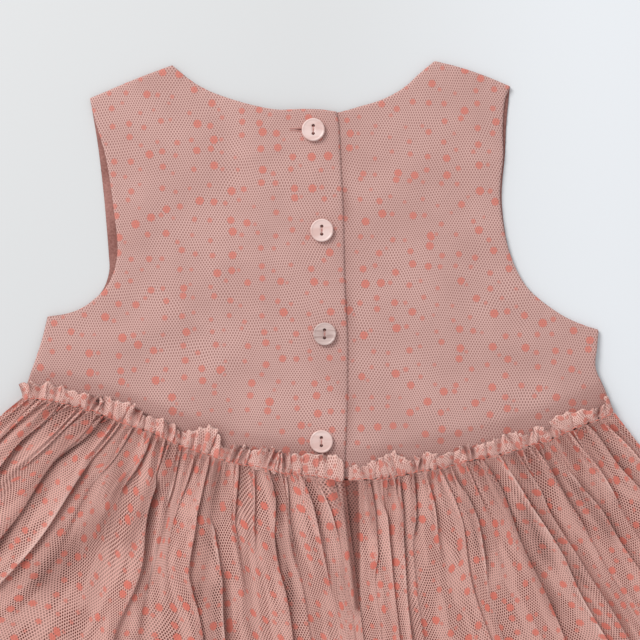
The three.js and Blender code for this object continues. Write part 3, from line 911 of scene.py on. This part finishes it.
right_folds = np.array([
    (3.3, 3.3, 3.3, 3.3, 0.0, 0.0, 0, 0),
    (19.5, 16, 13, 11, 0.0, 0.0, 0, 0),
    (24.3, 22.8, 21, 20, 1.0, 1.0, 0, 36),
    (31, 29, 28.3, 28, 0.8, 0.7, 20, 100),
    (39.4, 35.1, 33, 32.5, 0.7, 0.8, 5, 80),
    (46.4, 42, 40, 39, 0.6, 0.6, 0, 20),
    (53, 51, 50, 50, 0.6, 0.5, 10, 30),
    (59.5, 62.2, 61.5, 61, 0.8, 0.9, 5, 90),
    (65, 66.6, 65.7, 65, 0.8, 0.7, 16, 50),
    (72.5, 74, 74, 74, 0.5, 0.4, 0, 20),
    (80.3, 81.5, 82, 81.5, 1.0, 1.1, 0, 200),
    (89.3, 90.3, 94, 95, 1.0, 1.1, 0, 200),
    (98, 98, 100, 101, 0.5, 0.5, 0, 22),
    (107, 105.7, 107, 108, 0.8, 0.7, 10, 40),
    (115, 114.2, 115.7, 116, 0.9, 1.0, 25, 160),
    (124, 124, 125, 125, 0.6, 0.5, 0, 30),
    (132.5, 134.5, 135, 135, 0.9, 0.9, 0, 180),
    (140, 141, 141, 141, 0.5, 0.4, 10, 50),
    (147, 147, 147, 147, 0.0, 0.0, 0, 0),
], float)
lip_downs = (0, 30, 60, 90)
columns_per_fold = 28
fade = 8.0
edge_width = 0.1
fine_gather = 3.1
fine_aside, fine_height = 1.15, 0.95
drift_waves = 8
drift_aside, drift_height = 2.2, 2.0
seam_length, seen_length = 15.0, 100.0
roof_step = 0.5
roof_reach = 4
net_lowest, net_rise = 0.35, 0.6

# Length down the cloth, with how far the folds double back and how deep they are there
doubled_down = [(0, 0.9), (5, 2.4), (15, 4.0), (60, 4.3), (110, 3.8), (260, 2.0)]
deep_down = [(0, 0.8), (6, 1.8), (15, 2.8), (40, 3.6), (100, 3.8), (260, 2.6)]


def value_down(table, downs):
    lengths, values = zip(*table)
    return np.interp(downs, lengths, values)


def net_rows():
    """Lengths down the cloth of the grid's rows, close together at the seam."""
    downs = np.concatenate([np.arange(0, 24, 1.5), np.arange(24, 100, 2.5), np.arange(100, 261, 8.0)])
    return np.concatenate([downs[downs < skirt_length - 3], [skirt_length]])[:, None]


def wandering(draw, downs, shortest, longest, count):
    """A slow wave down the cloth for each fold, with a length and a start of its own."""
    return np.sin(downs / draw.uniform(shortest, longest, count) + draw.uniform(0, 6, count))


def lip_places(draw, folds, downs):
    """Where each lip lies in each row, as a share of the waist. It wanders a little from the table."""
    lips = np.stack([np.interp(downs[:, 0], lip_downs, row[:4]) for row in folds], axis=-1)
    swing = 0.8 * wandering(draw, downs, 11, 19, len(folds))
    swing[:, [0, -1]] = 0
    return waist_share(np.maximum.accumulate(lips + swing * smooth_between(downs, 4, 30), axis=1))


def fold_strengths(draw, folds, downs):
    """How deep each fold is in each row and how far it laps over, which fades where the table ends it."""
    depth, lap, begins, ends = folds[:, 4:].T
    shown = smooth_between(downs, begins - fade, begins + 0.1)
    shown = shown * (1 - smooth_between(downs, ends, ends + 2 * fade))
    beat = wandering(draw, downs, 6, 16, len(folds))
    return depth * (0.2 + 0.8 * shown), lap * (0.3 + 0.7 * shown) * (0.9 + 0.22 * beat)


def fine_gathers(draw, folds, fold, within, downs, flatness):
    """Small gathers counted up to each column, how strong each is, and how the cloth under them drifts."""
    waves = np.maximum(1, np.round(np.diff(folds[:, 0]) / fine_gather))
    wave_count = np.concatenate([[0], np.cumsum(waves)])
    count = wave_count[fold] + waves[fold] * within
    wave_numbers = np.arange(int(wave_count[-1]) + 2)
    strength = np.interp(count, wave_numbers, draw.uniform(0.25, 1.25, len(wave_numbers)))
    reach = np.interp(count, wave_numbers, draw.uniform(7, 42, len(wave_numbers)))
    fine = strength * flatness * np.exp(-(downs / reach) ** 2) * (1 - 0.3 * np.exp(-downs / 2))
    drift = np.zeros(flatness.shape)
    for _ in range(drift_waves):
        turns, slope, start = draw.uniform(0.12, 0.42), draw.uniform(-0.045, 0.045), draw.uniform(0, 6.3)
        drift += np.sin(2 * np.pi * turns * count + slope * downs * 1.6 + start) / drift_waves
    return count, fine, drift * flatness * smooth_between(downs, 3, 25)


def depth_under(places, heights):
    """How far each point of a row lies under the highest cloth near it, in millimetres."""
    bins = ((places - places.min()) / roof_step).astype(int)
    rows = np.broadcast_to(np.arange(len(bins))[:, None], bins.shape)
    roof = np.full((len(bins), bins.max() + 1 + 2 * roof_reach), -np.inf)
    np.maximum.at(roof, (rows, bins + roof_reach), heights)
    size = bins.max() + 1
    roof = np.max([roof[:, start:start + size] for start in range(2 * roof_reach + 1)], axis=0)
    return roof[rows, bins] - heights


def flat_across(name, points, fold, within, downs):
    """Places across the flat cloth, measured along the folds, and the width of the cut."""
    steps = np.sqrt((np.diff(points, axis=1) ** 2).sum(axis=-1))
    along = np.concatenate([np.zeros((len(downs), 1)), np.cumsum(steps, axis=1)], axis=1)
    starts = np.arange(fold[-1] + 2) * columns_per_fold
    widths = np.diff(along[:, starts], axis=1)
    print(name, "cloth in each row, mm:", widths.sum(axis=1)[::6].round())
    seen = widths[(downs[:, 0] > seam_length) & (downs[:, 0] < seen_length)]
    cut = (seen.max(axis=0) + seen.mean(axis=0)) / 2
    cut_starts = np.concatenate([[0], np.cumsum(cut)])
    inside = (along - along[:, starts[fold]]) / np.maximum(widths[:, fold], 1e-6)
    print(name, "cut width, mm:", round(cut_starts[-1]))
    return cut_starts[fold] + cut[fold] * inside, float(cut_starts[-1])


def gathered_net(name, folds, lift_at, seed, material, slot, replaced):
    """A gathered net panel, its S folds lipped where the table says."""
    draw = np.random.RandomState(seed)
    downs = net_rows()
    lip_shares = lip_places(draw, folds, downs)
    depth, lap = fold_strengths(draw, folds, downs)
    fold = np.append(np.repeat(np.arange(len(folds) - 1), columns_per_fold), len(folds) - 2)
    within = np.append(np.tile(np.arange(columns_per_fold) / columns_per_fold, len(folds) - 1), 1.0)
    eased = within * within * (3 - 2 * within)

    def between(values):
        return values[..., fold] + (values[..., fold + 1] - values[..., fold]) * eased

    straight = lip_shares[:, fold] + (lip_shares[:, fold + 1] - lip_shares[:, fold]) * within
    doubled = value_down(doubled_down, downs) * between(lap)
    deep = value_down(deep_down, downs) * between(depth)
    flatness = np.minimum(1, 5 * between(depth))
    count, fine, drift = fine_gathers(draw, folds, fold, within, downs, flatness)
    turn, fine_turn = 2 * np.pi * within, 2 * np.pi * count
    aside = -doubled * np.sin(turn) - fine_aside * fine * np.sin(fine_turn) + drift_aside * drift
    height = deep * (0.5 - 0.5 * np.sin(turn)) + fine_height * fine * (1 + np.cos(fine_turn))
    height = height + drift_height * drift + net_rise * flatness
    x, y = skirt_place(straight, downs, aside)
    z = net_low + net_lowest + lift_at(straight, downs) + height
    points = np.stack([x, y, z], axis=-1)

    places = straight * waist_length + aside
    under = smooth_between(depth_under(places, z), 1.0, 4.2)
    waist_x = waist_at(places / waist_length)[..., 0]
    hollow = 0.5 * hollow_shade(waist_x, downs) + 0.85 * slit_shade(waist_x, downs)
    valley_shade = fine * (0.5 - 0.5 * np.cos(fine_turn)) ** 2
    seam = 0.12 * flatness * np.exp(-(downs / 3) ** 2)
    # Painted shade: under a lip, in the hollows and the opening, in the valleys of the small gathers and
    # along the seam.
    shade = np.clip(0.38 * under + hollow + 0.45 * valley_shade + seam, 0, 1)

    # A lip turns under where the cloth, going across, stops and comes back
    fold_width = (lip_shares[:, fold + 1] - lip_shares[:, fold]) * waist_length
    turned = np.clip(fold_width / (2 * np.pi * np.maximum(doubled, 0.01)), 0, 1)
    lip = (within - 1 + np.arccos(turned) / (2 * np.pi)) / edge_width
    # Along the lip's edge the holes close, where the threads crowd, and the threads are painted paler, as a
    # painted highlight.
    edge = np.clip(lap[:, fold] * 1.3 - 0.3, 0, 1) * np.exp(-lip ** 2) * (turned < 1)
    edge = edge * smooth_between(downs, 2, 9)

    across, cut_width = flat_across(name, points, fold, within, downs)
    tilt = 2.6 * np.sin(across / 8.7 + seed) + 4.5 * np.sin(across / 21 + 2 * seed)
    flat = np.stack([across + 40 * seed, tilt - downs], axis=-1)
    piece = open_sheet(name, points, flat, material, slot, replaced, shade=shade, edge=edge)
    return piece, cut_width


net_lap = 9.0 / waist_length


def left_lift(share, down):
    """The left net lies over the right one's start, and rises to the heading at the seam."""
    over = 1.7 * smooth_between(share, placket_share - 4 * net_lap, placket_share - 2 * net_lap)
    return over + 1.0 * np.exp(-down / 6)


def right_lift(share, down):
    return 1.0 * np.exp(-down / 6) + 0 * share


left_net, left_cut = gathered_net("left_net_cloth", left_folds, left_lift, 3, skirt_net, "dotted_net",
                                  ["skirt_net_back_left"])
right_net, right_cut = gathered_net("right_net_cloth", right_folds, right_lift, 5, skirt_net, "dotted_net",
                                    ["skirt_net_back_right"])

# %% [markdown]
# ## Heading
#
# The net is folded double at its top and stitched below the fold, so a strip of it stands above the
# waist stitches. It is pinched at the thread and opens upwards in crumpled waves of many widths. Near
# the placket it isn't gathered, and it stands a little taller, over the rim of the last button.

# %% Wavy heading
# Place along the waist, height above the stitches, and how far the waves open
left_heading = [(-149, 9, 1), (-120, 10, 1), (-104, 10.5, 1), (-82, 8.5, 1), (-70, 10, 1), (-57, 14, 1),
                (-48, 11, 1), (-38, 12.5, 1), (-28, 10.5, 1), (-19, 11.5, 1), (-12, 12, 0.9), (-5, 13, 0.7),
                (3, 13, 0.5), (8, 12.5, 0.4), (11.6, 9, 0.3)]
right_heading = [(14.2, 6, 0.2), (18.5, 8.5, 0.4), (24, 9, 1), (36, 13, 1), (46, 10.5, 1), (60, 10, 1),
                 (80, 11, 1), (105, 11, 1), (130, 9, 1), (147, 9, 1)]
heading_low = 4.4
heading_columns = 24
lobe_width = 5.6
crease_width = 0.6
heading_rows, hidden_rows = 12, 8


def heading(name, rows, lift_at, seed, replaced):
    """A strip of doubled net that opens in lobes above the stitches, with a crease between each two."""
    draw = np.random.RandomState(seed)
    xs, tall, open_share = (np.array(column, float) for column in zip(*rows))
    start, end = waist_share(xs[0]), waist_share(xs[-1])
    lobes = int(round((end - start) * waist_length / lobe_width))
    widths = draw.uniform(0.45, 1.55, lobes)
    edges = start + (end - start) * np.concatenate([[0], np.cumsum(widths)]) / widths.sum()
    lobe = np.append(np.repeat(np.arange(lobes), heading_columns), lobes - 1)
    within = np.append(np.tile(np.arange(heading_columns) / heading_columns, lobes), 1.0)
    eased = within * within * (3 - 2 * within)
    slope, depth, reach, tip = (draw.uniform(low, high, lobes + 1)
                                for low, high in ((-1, 1), (0.3, 1.35), (0.6, 1.16), (-1, 1)))
    slope = np.sign(slope) * (0.4 + 0.6 * abs(slope))

    def between(values):
        return values[lobe] + (values[lobe + 1] - values[lobe]) * eased

    share = edges[lobe] + (edges[lobe + 1] - edges[lobe]) * within
    base = waist_at(share)
    opening = np.interp(base[:, 0], xs, open_share)
    bulge = np.sin(np.pi * within) ** 0.8
    up = np.concatenate([np.linspace(-0.06, 1, heading_rows), np.linspace(0.97, 0.0, hidden_rows)])[:, None]
    over = np.where(np.arange(len(up)) < heading_rows, 1.0, -1.0)[:, None]
    side = over * np.sqrt(np.clip(1 - up ** 2, 0, 1))
    tangent = waist_at(share + 0.002) - waist_at(share - 0.002)
    tangent = tangent / np.hypot(*tangent.T)[:, None]
    turn = 2 * np.pi * within
    spread = opening * np.clip(up, 0, 1) ** 0.6
    crumple = np.sin(2.3 * turn + 3.5 * up + 4 * between(tip)) * np.clip(up, 0, 1)
    aside = -between(slope) * 2.5 * spread * np.sin(turn) + 3.0 * between(tip) * opening * up ** 2
    lump = np.sin(1.3 * turn + 2.2 * up + 5 * between(slope)) * np.sin(3.1 * up + 3 * between(tip))
    rise = opening * between(depth) * ((0.25 + 3.0 * spread) * bulge + 0.6 * crumple + 1.2 * lump * spread)
    tall_here = np.interp(base[:, 0], xs, tall) * (1 - opening * (1 - between(reach) * (0.8 + 0.2 * bulge)))
    foot = opening * (2.4 * bulge * between(depth) - 1.2) * np.exp(-(np.maximum(up, 0) / 0.25) ** 2)
    reach_here = tall_here * up + 0.6 * opening * crumple - foot
    x = base[:, 0] + tangent[:, 0] * aside - tangent[:, 1] * reach_here
    y = base[:, 1] + tangent[:, 1] * aside + tangent[:, 0] * reach_here
    z = heading_low + 0.15 + np.maximum(rise, 0) + 0.3 * side + lift_at(x, y) + 0.25 * np.clip(up, 0, 1)
    points = np.stack([x, y, z], axis=-1)
    # Painted shade in the creases between the lobes and under the lobes that lie over others.
    from_crease = np.minimum(within, 1 - within) * widths[lobe] * lobe_width
    crease = opening * np.exp(-(from_crease / crease_width) ** 2)
    under = smooth_between(depth_under(share * waist_length + aside, z), 0.8, 3.2)
    shade = np.clip(0.24 * under + 0.7 * crease * (0.5 + 0.5 * np.clip(up, 0, 1)), 0, 1)
    steps = np.sqrt((np.diff(points, axis=1) ** 2).sum(axis=-1))[hidden_rows]
    cut = np.concatenate([[0], np.cumsum(steps)])
    folded = np.concatenate([up[:heading_rows], 2 - up[heading_rows:]]) * heading_tall
    flat = np.stack([np.broadcast_to(cut, x.shape) + 31 * seed, np.broadcast_to(folded, x.shape)], axis=-1)
    rim = np.broadcast_to(np.exp(-((1 - up) / 0.07) ** 2), x.shape)
    piece = open_sheet(name, points, flat, heading_net_painted_light, "dotted_net", replaced, shade=shade, edge=rim)
    print(name, "cut width, mm:", round(cut[-1]))
    return piece


last_button = button_places["button_4"]


def over_button(x, y):
    """The heading climbs over the rim of the last button."""
    distance = np.hypot(x - last_button[0], y - last_button[1])
    return 2.6 * (1 - smooth_between(distance, 5.5, 9.0))


left_heading_cloth = heading(
    "left_heading_cloth", left_heading, lambda x, y: lap_rise(x, y) + over_button(x, y), 8,
    ["waist_frill_back_left"])
right_heading_cloth = heading(
    "right_heading_cloth", right_heading, lambda x, y: 0 * x, 9, ["waist_frill_back_right"])

# The front's heading lies hidden under the bodice, in small even waves
front_grid = (8, 161)
front_heading_tall, front_heading_low = 10.5, 0.5
front_ripple, front_waves = 0.25, 300
front_fullness = 2
front_share, front_up = np.broadcast_arrays(
    np.linspace(0, 1, front_grid[1])[None, :], np.linspace(0, front_heading_tall, front_grid[0])[:, None])
front_x, front_y = skirt_place(front_share, -front_up)
front_z = front_heading_low + front_ripple * np.sin(front_share * front_waves)
front_flat = np.stack([front_share * waist_length * front_fullness, front_up], axis=-1)
front_heading = open_sheet("front_heading_cloth", np.stack([front_x, front_y, front_z], axis=-1), front_flat,
                           skirt_net, "dotted_net", ["waist_frill_front"])

# %% [markdown]
# ## Sewing
#
# The waist is stitched through the heading in coral thread. Each stitch is a small round-ended bar that
# sinks at its ends, where the thread goes down into the cloth, and the gathers push the stitches a
# little off their line.

# %% Stitches


def thread_finish(name, colour):
    material, shader, _ = start_material(name, 0.7, sheen=0.2)
    shader.inputs["Base Color"].default_value = colour
    return material


coral_thread = thread_finish("coral_thread", linear(222, 128, 112))
rose_thread = thread_finish("rose_thread", linear(196, 142, 134))
stitch_rings, stitch_sides = 7, 6


def stitches(name, starts, ends, thickness, finish):
    """One mesh of stitches between pairs of points, each sinking at its ends."""
    points, faces = [], []
    across = np.linspace(0, 1, stitch_rings)
    round_end = np.sqrt(np.clip(1 - (2 * across - 1) ** 4, 0.04, 1))
    angles = np.linspace(0, 2 * np.pi, stitch_sides, endpoint=False)
    for start, end in zip(np.asarray(starts, float), np.asarray(ends, float)):
        first = len(points)
        run = (end - start) / np.linalg.norm(end - start)
        aside = np.array([-run[1], run[0], 0.0])
        for share, radius in zip(across, round_end * thickness / 2):
            middle = start + (end - start) * share - np.array([0, 0, thickness * (2 * share - 1) ** 2])
            for angle in angles:
                points.append(middle + radius * (aside * math.cos(angle) + np.array([0, 0, math.sin(angle)])))
        for ring in range(stitch_rings - 1):
            for side in range(stitch_sides):
                corner = first + ring * stitch_sides + side
                beside = first + ring * stitch_sides + (side + 1) % stitch_sides
                faces.append((corner, beside, beside + stitch_sides, corner + stitch_sides))
        faces.append(tuple(first + side for side in range(stitch_sides)))
        last = first + (stitch_rings - 1) * stitch_sides
        faces.append(tuple(last + side for side in reversed(range(stitch_sides))))
    mesh = bpy.data.meshes.new(name)
    mesh.from_pydata(in_frame(np.array(points)).tolist(), [], faces)
    add_piece(name, mesh, finish)
    print(name, "stitches:", len(starts))


waist_stitch, waist_stitch_gap, waist_thread = 2.5, 0.6, 0.42


def waist_run(name, from_x, to_x, height_at, seed):
    """Stitches along the waist from one place to another."""
    draw = np.random.RandomState(seed)
    start, end = waist_share(from_x) * waist_length, waist_share(to_x) * waist_length
    count = int((end - start) / (waist_stitch + waist_stitch_gap))
    firsts = np.linspace(start, end, count, endpoint=False)
    ends = []
    for edge in (firsts, firsts + waist_stitch):
        place = waist_at(edge / waist_length)
        sway = draw.uniform(-0.45, 0.45, count)
        y = place[:, 1] + 0.3 + sway + 0.5 * np.sin(place[:, 0] / 4.3 + seed)
        z = height_at(place[:, 0], y) + draw.uniform(-0.1, 0.25, count)
        ends.append(np.stack([place[:, 0], y, z], axis=-1))
    stitches(name, ends[0], ends[1], waist_thread, coral_thread)


stitch_height = 6.3
waist_run("waist_stitches_left", -148, 11, lambda x, y: stitch_height + lap_rise(x, y), 21)
waist_run("waist_stitches_right", 15, 146, lambda x, y: stitch_height + 0 * x, 22)

# %% [markdown]
# ## Buttonholes
#
# Each buttonhole is a slit whose lips are covered by close stitches. The buttons hide all but the left
# end of the top one, where the pull of the button opens it a little. A dark sheet in each slit is painted
# shadow for the shade inside it.

# %% Buttonholes
# The slit's dark sheet is painted shadow.
slit_shadow_finish = thread_finish("buttonhole_slit_shadow", linear(104, 54, 48))
lip_step, lip_reach, lip_thread = 0.36, 1.0, 0.32
buttonholes = {"button_1": (-8.4, 95.2, 13.0), "button_2": (0.9, 44.8, 10.4), "button_3": (2.3, -6.95, 10.4),
               "button_4": (0.7, -60.6, 10.4)}


def lapped_height(x, y):
    """Top of the left half of the bodice beside the placket."""
    placket_foot, placket_head = placket_points[0][1], placket_points[-1][1]
    above = (y - placket_foot) * bodice_length / (placket_head - placket_foot)
    return lapped_low(x, y, above) + bodice_wall


for number, (middle_x, middle_y, length) in enumerate(buttonholes.values(), 1):
    x = np.arange(middle_x - length / 2, middle_x + length / 2, lip_step)
    opening = 0.03 + 0.36 * smooth_between(x, middle_x - length / 2 + 1, middle_x)
    z = lapped_height(x, np.full_like(x, middle_y)) + 0.04
    rows = np.array([np.stack([x, middle_y + side * opening, z], axis=-1) for side in (-1, 1)])
    open_sheet(f"buttonhole_slit_shadow_{number}", rows, rows[..., :2], slit_shadow_finish, "thread", ())
    for side, edge_name in ((-1, "lower"), (1, "upper")):
        inner = np.stack([x, middle_y + side * opening, z + 0.05], axis=-1)
        outer = inner + np.array([0, side * lip_reach, 0])
        stitches(f"buttonhole_{edge_name}_lip_{number}", inner, outer, lip_thread, rose_thread)

# %% [markdown]
# ## Buttons
#
# A pearl shell button is turned on a lathe: a round rim, a shallow dish and two holes. Its layers of
# shell show as soft paler and darker bands. On the grey third button the long pale streaks are a painted
# reflection.


# %% Pearl finish
def pearl(name, pale, band, streak):
    material, shader, wire = start_material(name, 0.36)
    shader.inputs["Specular IOR Level"].default_value = 0.45
    shader.inputs["Coat Weight"].default_value = 0.12
    shader.inputs["Coat Roughness"].default_value = 0.3
    place = wire.node("ShaderNodeTexCoord", output=3)
    stretched = wire.node("ShaderNodeMapping", {}, {"Vector": place, "Scale": (60.0, 420.0 * streak, 60.0)})
    bands = {"Vector": stretched, "Scale": 1.0, "Detail": 3.0, "Distortion": 0.6}
    layers = wire.node("ShaderNodeTexNoise", {}, bands)
    coloured = layers.ease(0.35, 0.7).colour(pale, band)
    wire.tree.links.new(coloured.socket, shader.inputs["Base Color"])
    return material


pink_pearl = pearl("pink_pearl", linear(238, 212, 206), linear(222, 186, 178), 0.6)
# The grey button's long pale streaks are a painted reflection.
grey_pearl_painted_reflection = pearl("grey_pearl_painted_reflection", linear(214, 190, 184), linear(164, 134, 128), 1.0)

# %% Turn the buttons
# Half section: share of the radius and height
button_section = [(0, 0), (0.84, 0), (0.95, 0.28), (1, 0.95), (0.99, 1.55), (0.965, 1.9), (0.93, 2.08),
                  (0.89, 2.12), (0.85, 2.03), (0.81, 1.92), (0.74, 1.88), (0.5, 1.86), (0.25, 1.85),
    (0, 1.85)]
button_radius = 5.8
hole_radius = 0.82
hole_offset = 1.95
thread_level = 1.5
button_sides = 72
sink_section = [(0, 1.45), (0.6, 1.55), (1.15, 1.95), (1.2, 3), (0, 3)]
drill_section = [(0, -2), (hole_radius, -2), (hole_radius, 4), (0, 4)]
sink_stretch = 2.5
sink_sides, drill_sides = 32, 20
bar_reach, bar_thread = 0.22, 0.4


def turned_mesh(name, section, centre, sides, stretch=1.0):
    """A mesh turned about a standing axis, closed at the axis, and stretched in y."""
    rings = []
    for share, height in section:
        angle = np.linspace(0, 2 * np.pi, sides, endpoint=False)
        ring_x, ring_y = share * np.cos(angle), share * stretch * np.sin(angle)
        rings.append(np.stack([ring_x, ring_y, np.full(sides, height)], axis=-1))
    inner = np.concatenate(rings[1:-1])
    points = np.vstack([[0, 0, section[0][1]], inner, [0, 0, section[-1][1]]]) + np.array(centre)
    faces = [(0, 1 + (side + 1) % sides, 1 + side) for side in range(sides)]
    for ring in range(len(section) - 3):
        for side in range(sides):
            start, following = 1 + ring * sides + side, 1 + ring * sides + (side + 1) % sides
            faces.append((start, following, following + sides, start + sides))
    top = len(points) - 1
    last = 1 + (len(section) - 3) * sides
    faces += [(top, last + side, last + (side + 1) % sides) for side in range(sides)]
    mesh = bpy.data.meshes.new(name)
    mesh.from_pydata(in_frame(points).tolist(), [], faces)
    return mesh


def make_button(node, material):
    """A button in its node's place, with two holes drilled through."""
    x, y = button_places[node]
    low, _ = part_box(node)
    base = low.z / MM
    section = [(share * button_radius, height) for share, height in button_section]
    mesh = turned_mesh(f"pearl_{node}", section, (x, y, base), button_sides)
    piece = bpy.data.objects.new(f"pearl_{node}", mesh)
    bpy.context.scene.collection.objects.link(piece)
    tools = [turned_mesh("sink", sink_section, (x, y, base), sink_sides, stretch=sink_stretch)]
    for side in (-1, 1):
        tools.append(turned_mesh("drill", drill_section, (x, y + side * hole_offset, base), drill_sides))
    for tool in tools:
        drill = bpy.data.objects.new("drill", tool)
        bpy.context.scene.collection.objects.link(drill)
        cut = piece.modifiers.new("hole", "BOOLEAN")
        cut.operation = "DIFFERENCE"
        cut.object = drill
        bpy.context.view_layer.objects.active = piece
        bpy.ops.object.modifier_apply(modifier=cut.name)
        bpy.data.objects.remove(drill)
    piece.data.materials.append(material)
    piece.data.shade_smooth()
    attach(piece, "root")
    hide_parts(node)
    lower, upper = ([(x + aside, y + side * hole_offset, base + thread_level)
                     for aside in (-bar_reach, bar_reach)] for side in (-1, 1))
    stitches(f"{node}_thread", lower, upper, bar_thread, rose_thread)


for node in button_places:
    make_button(node, grey_pearl_painted_reflection if node == "button_3" else pink_pearl)

# %% [markdown]
# ## The size each cloth was cut to
#
# The size of each cut piece before sewing is worked out and printed. A gathered half of the skirt is
# cut wider than it lies, and its heading is the top of the same cloth, folded double. A panel that lies
# flat is as large as its cut.

left_cut * MM
right_cut * MM


def flat_cut(piece, layers):
    """A panel's width, length and area in the flat cloth, in metres."""
    layer = piece.data.uv_layers["cloth"].data
    places = np.zeros(2 * len(layer))
    layer.foreach_get("uv", places)
    corners = places.reshape(-1, 4, 2)
    width, length = np.ptp(corners.reshape(-1, 2), axis=0)
    first, second = corners[:, 2] - corners[:, 0], corners[:, 3] - corners[:, 1]
    area = abs(first[:, 0] * second[:, 1] - first[:, 1] * second[:, 0]).sum() / 2 / layers
    print(piece.name, "cut, m:", round(width, 3), "x", round(length, 3), "area, m2:", round(area, 4))
    return float(width), float(length), float(area)


# Panel, what it lies on, and what is sewn on it
laid_panels = [
    (front_bodice, [], []),
    (back_right, [front_bodice], []),
    (back_left, [front_bodice, back_right], []),
    (front_net, [], [front_heading]),
    (front_lining, [front_net], []),
    (back_lining, [front_lining], []),
]
for panel, beneath, companions in laid_panels:
    panel_width, panel_length, panel_area = flat_cut(panel, 2)
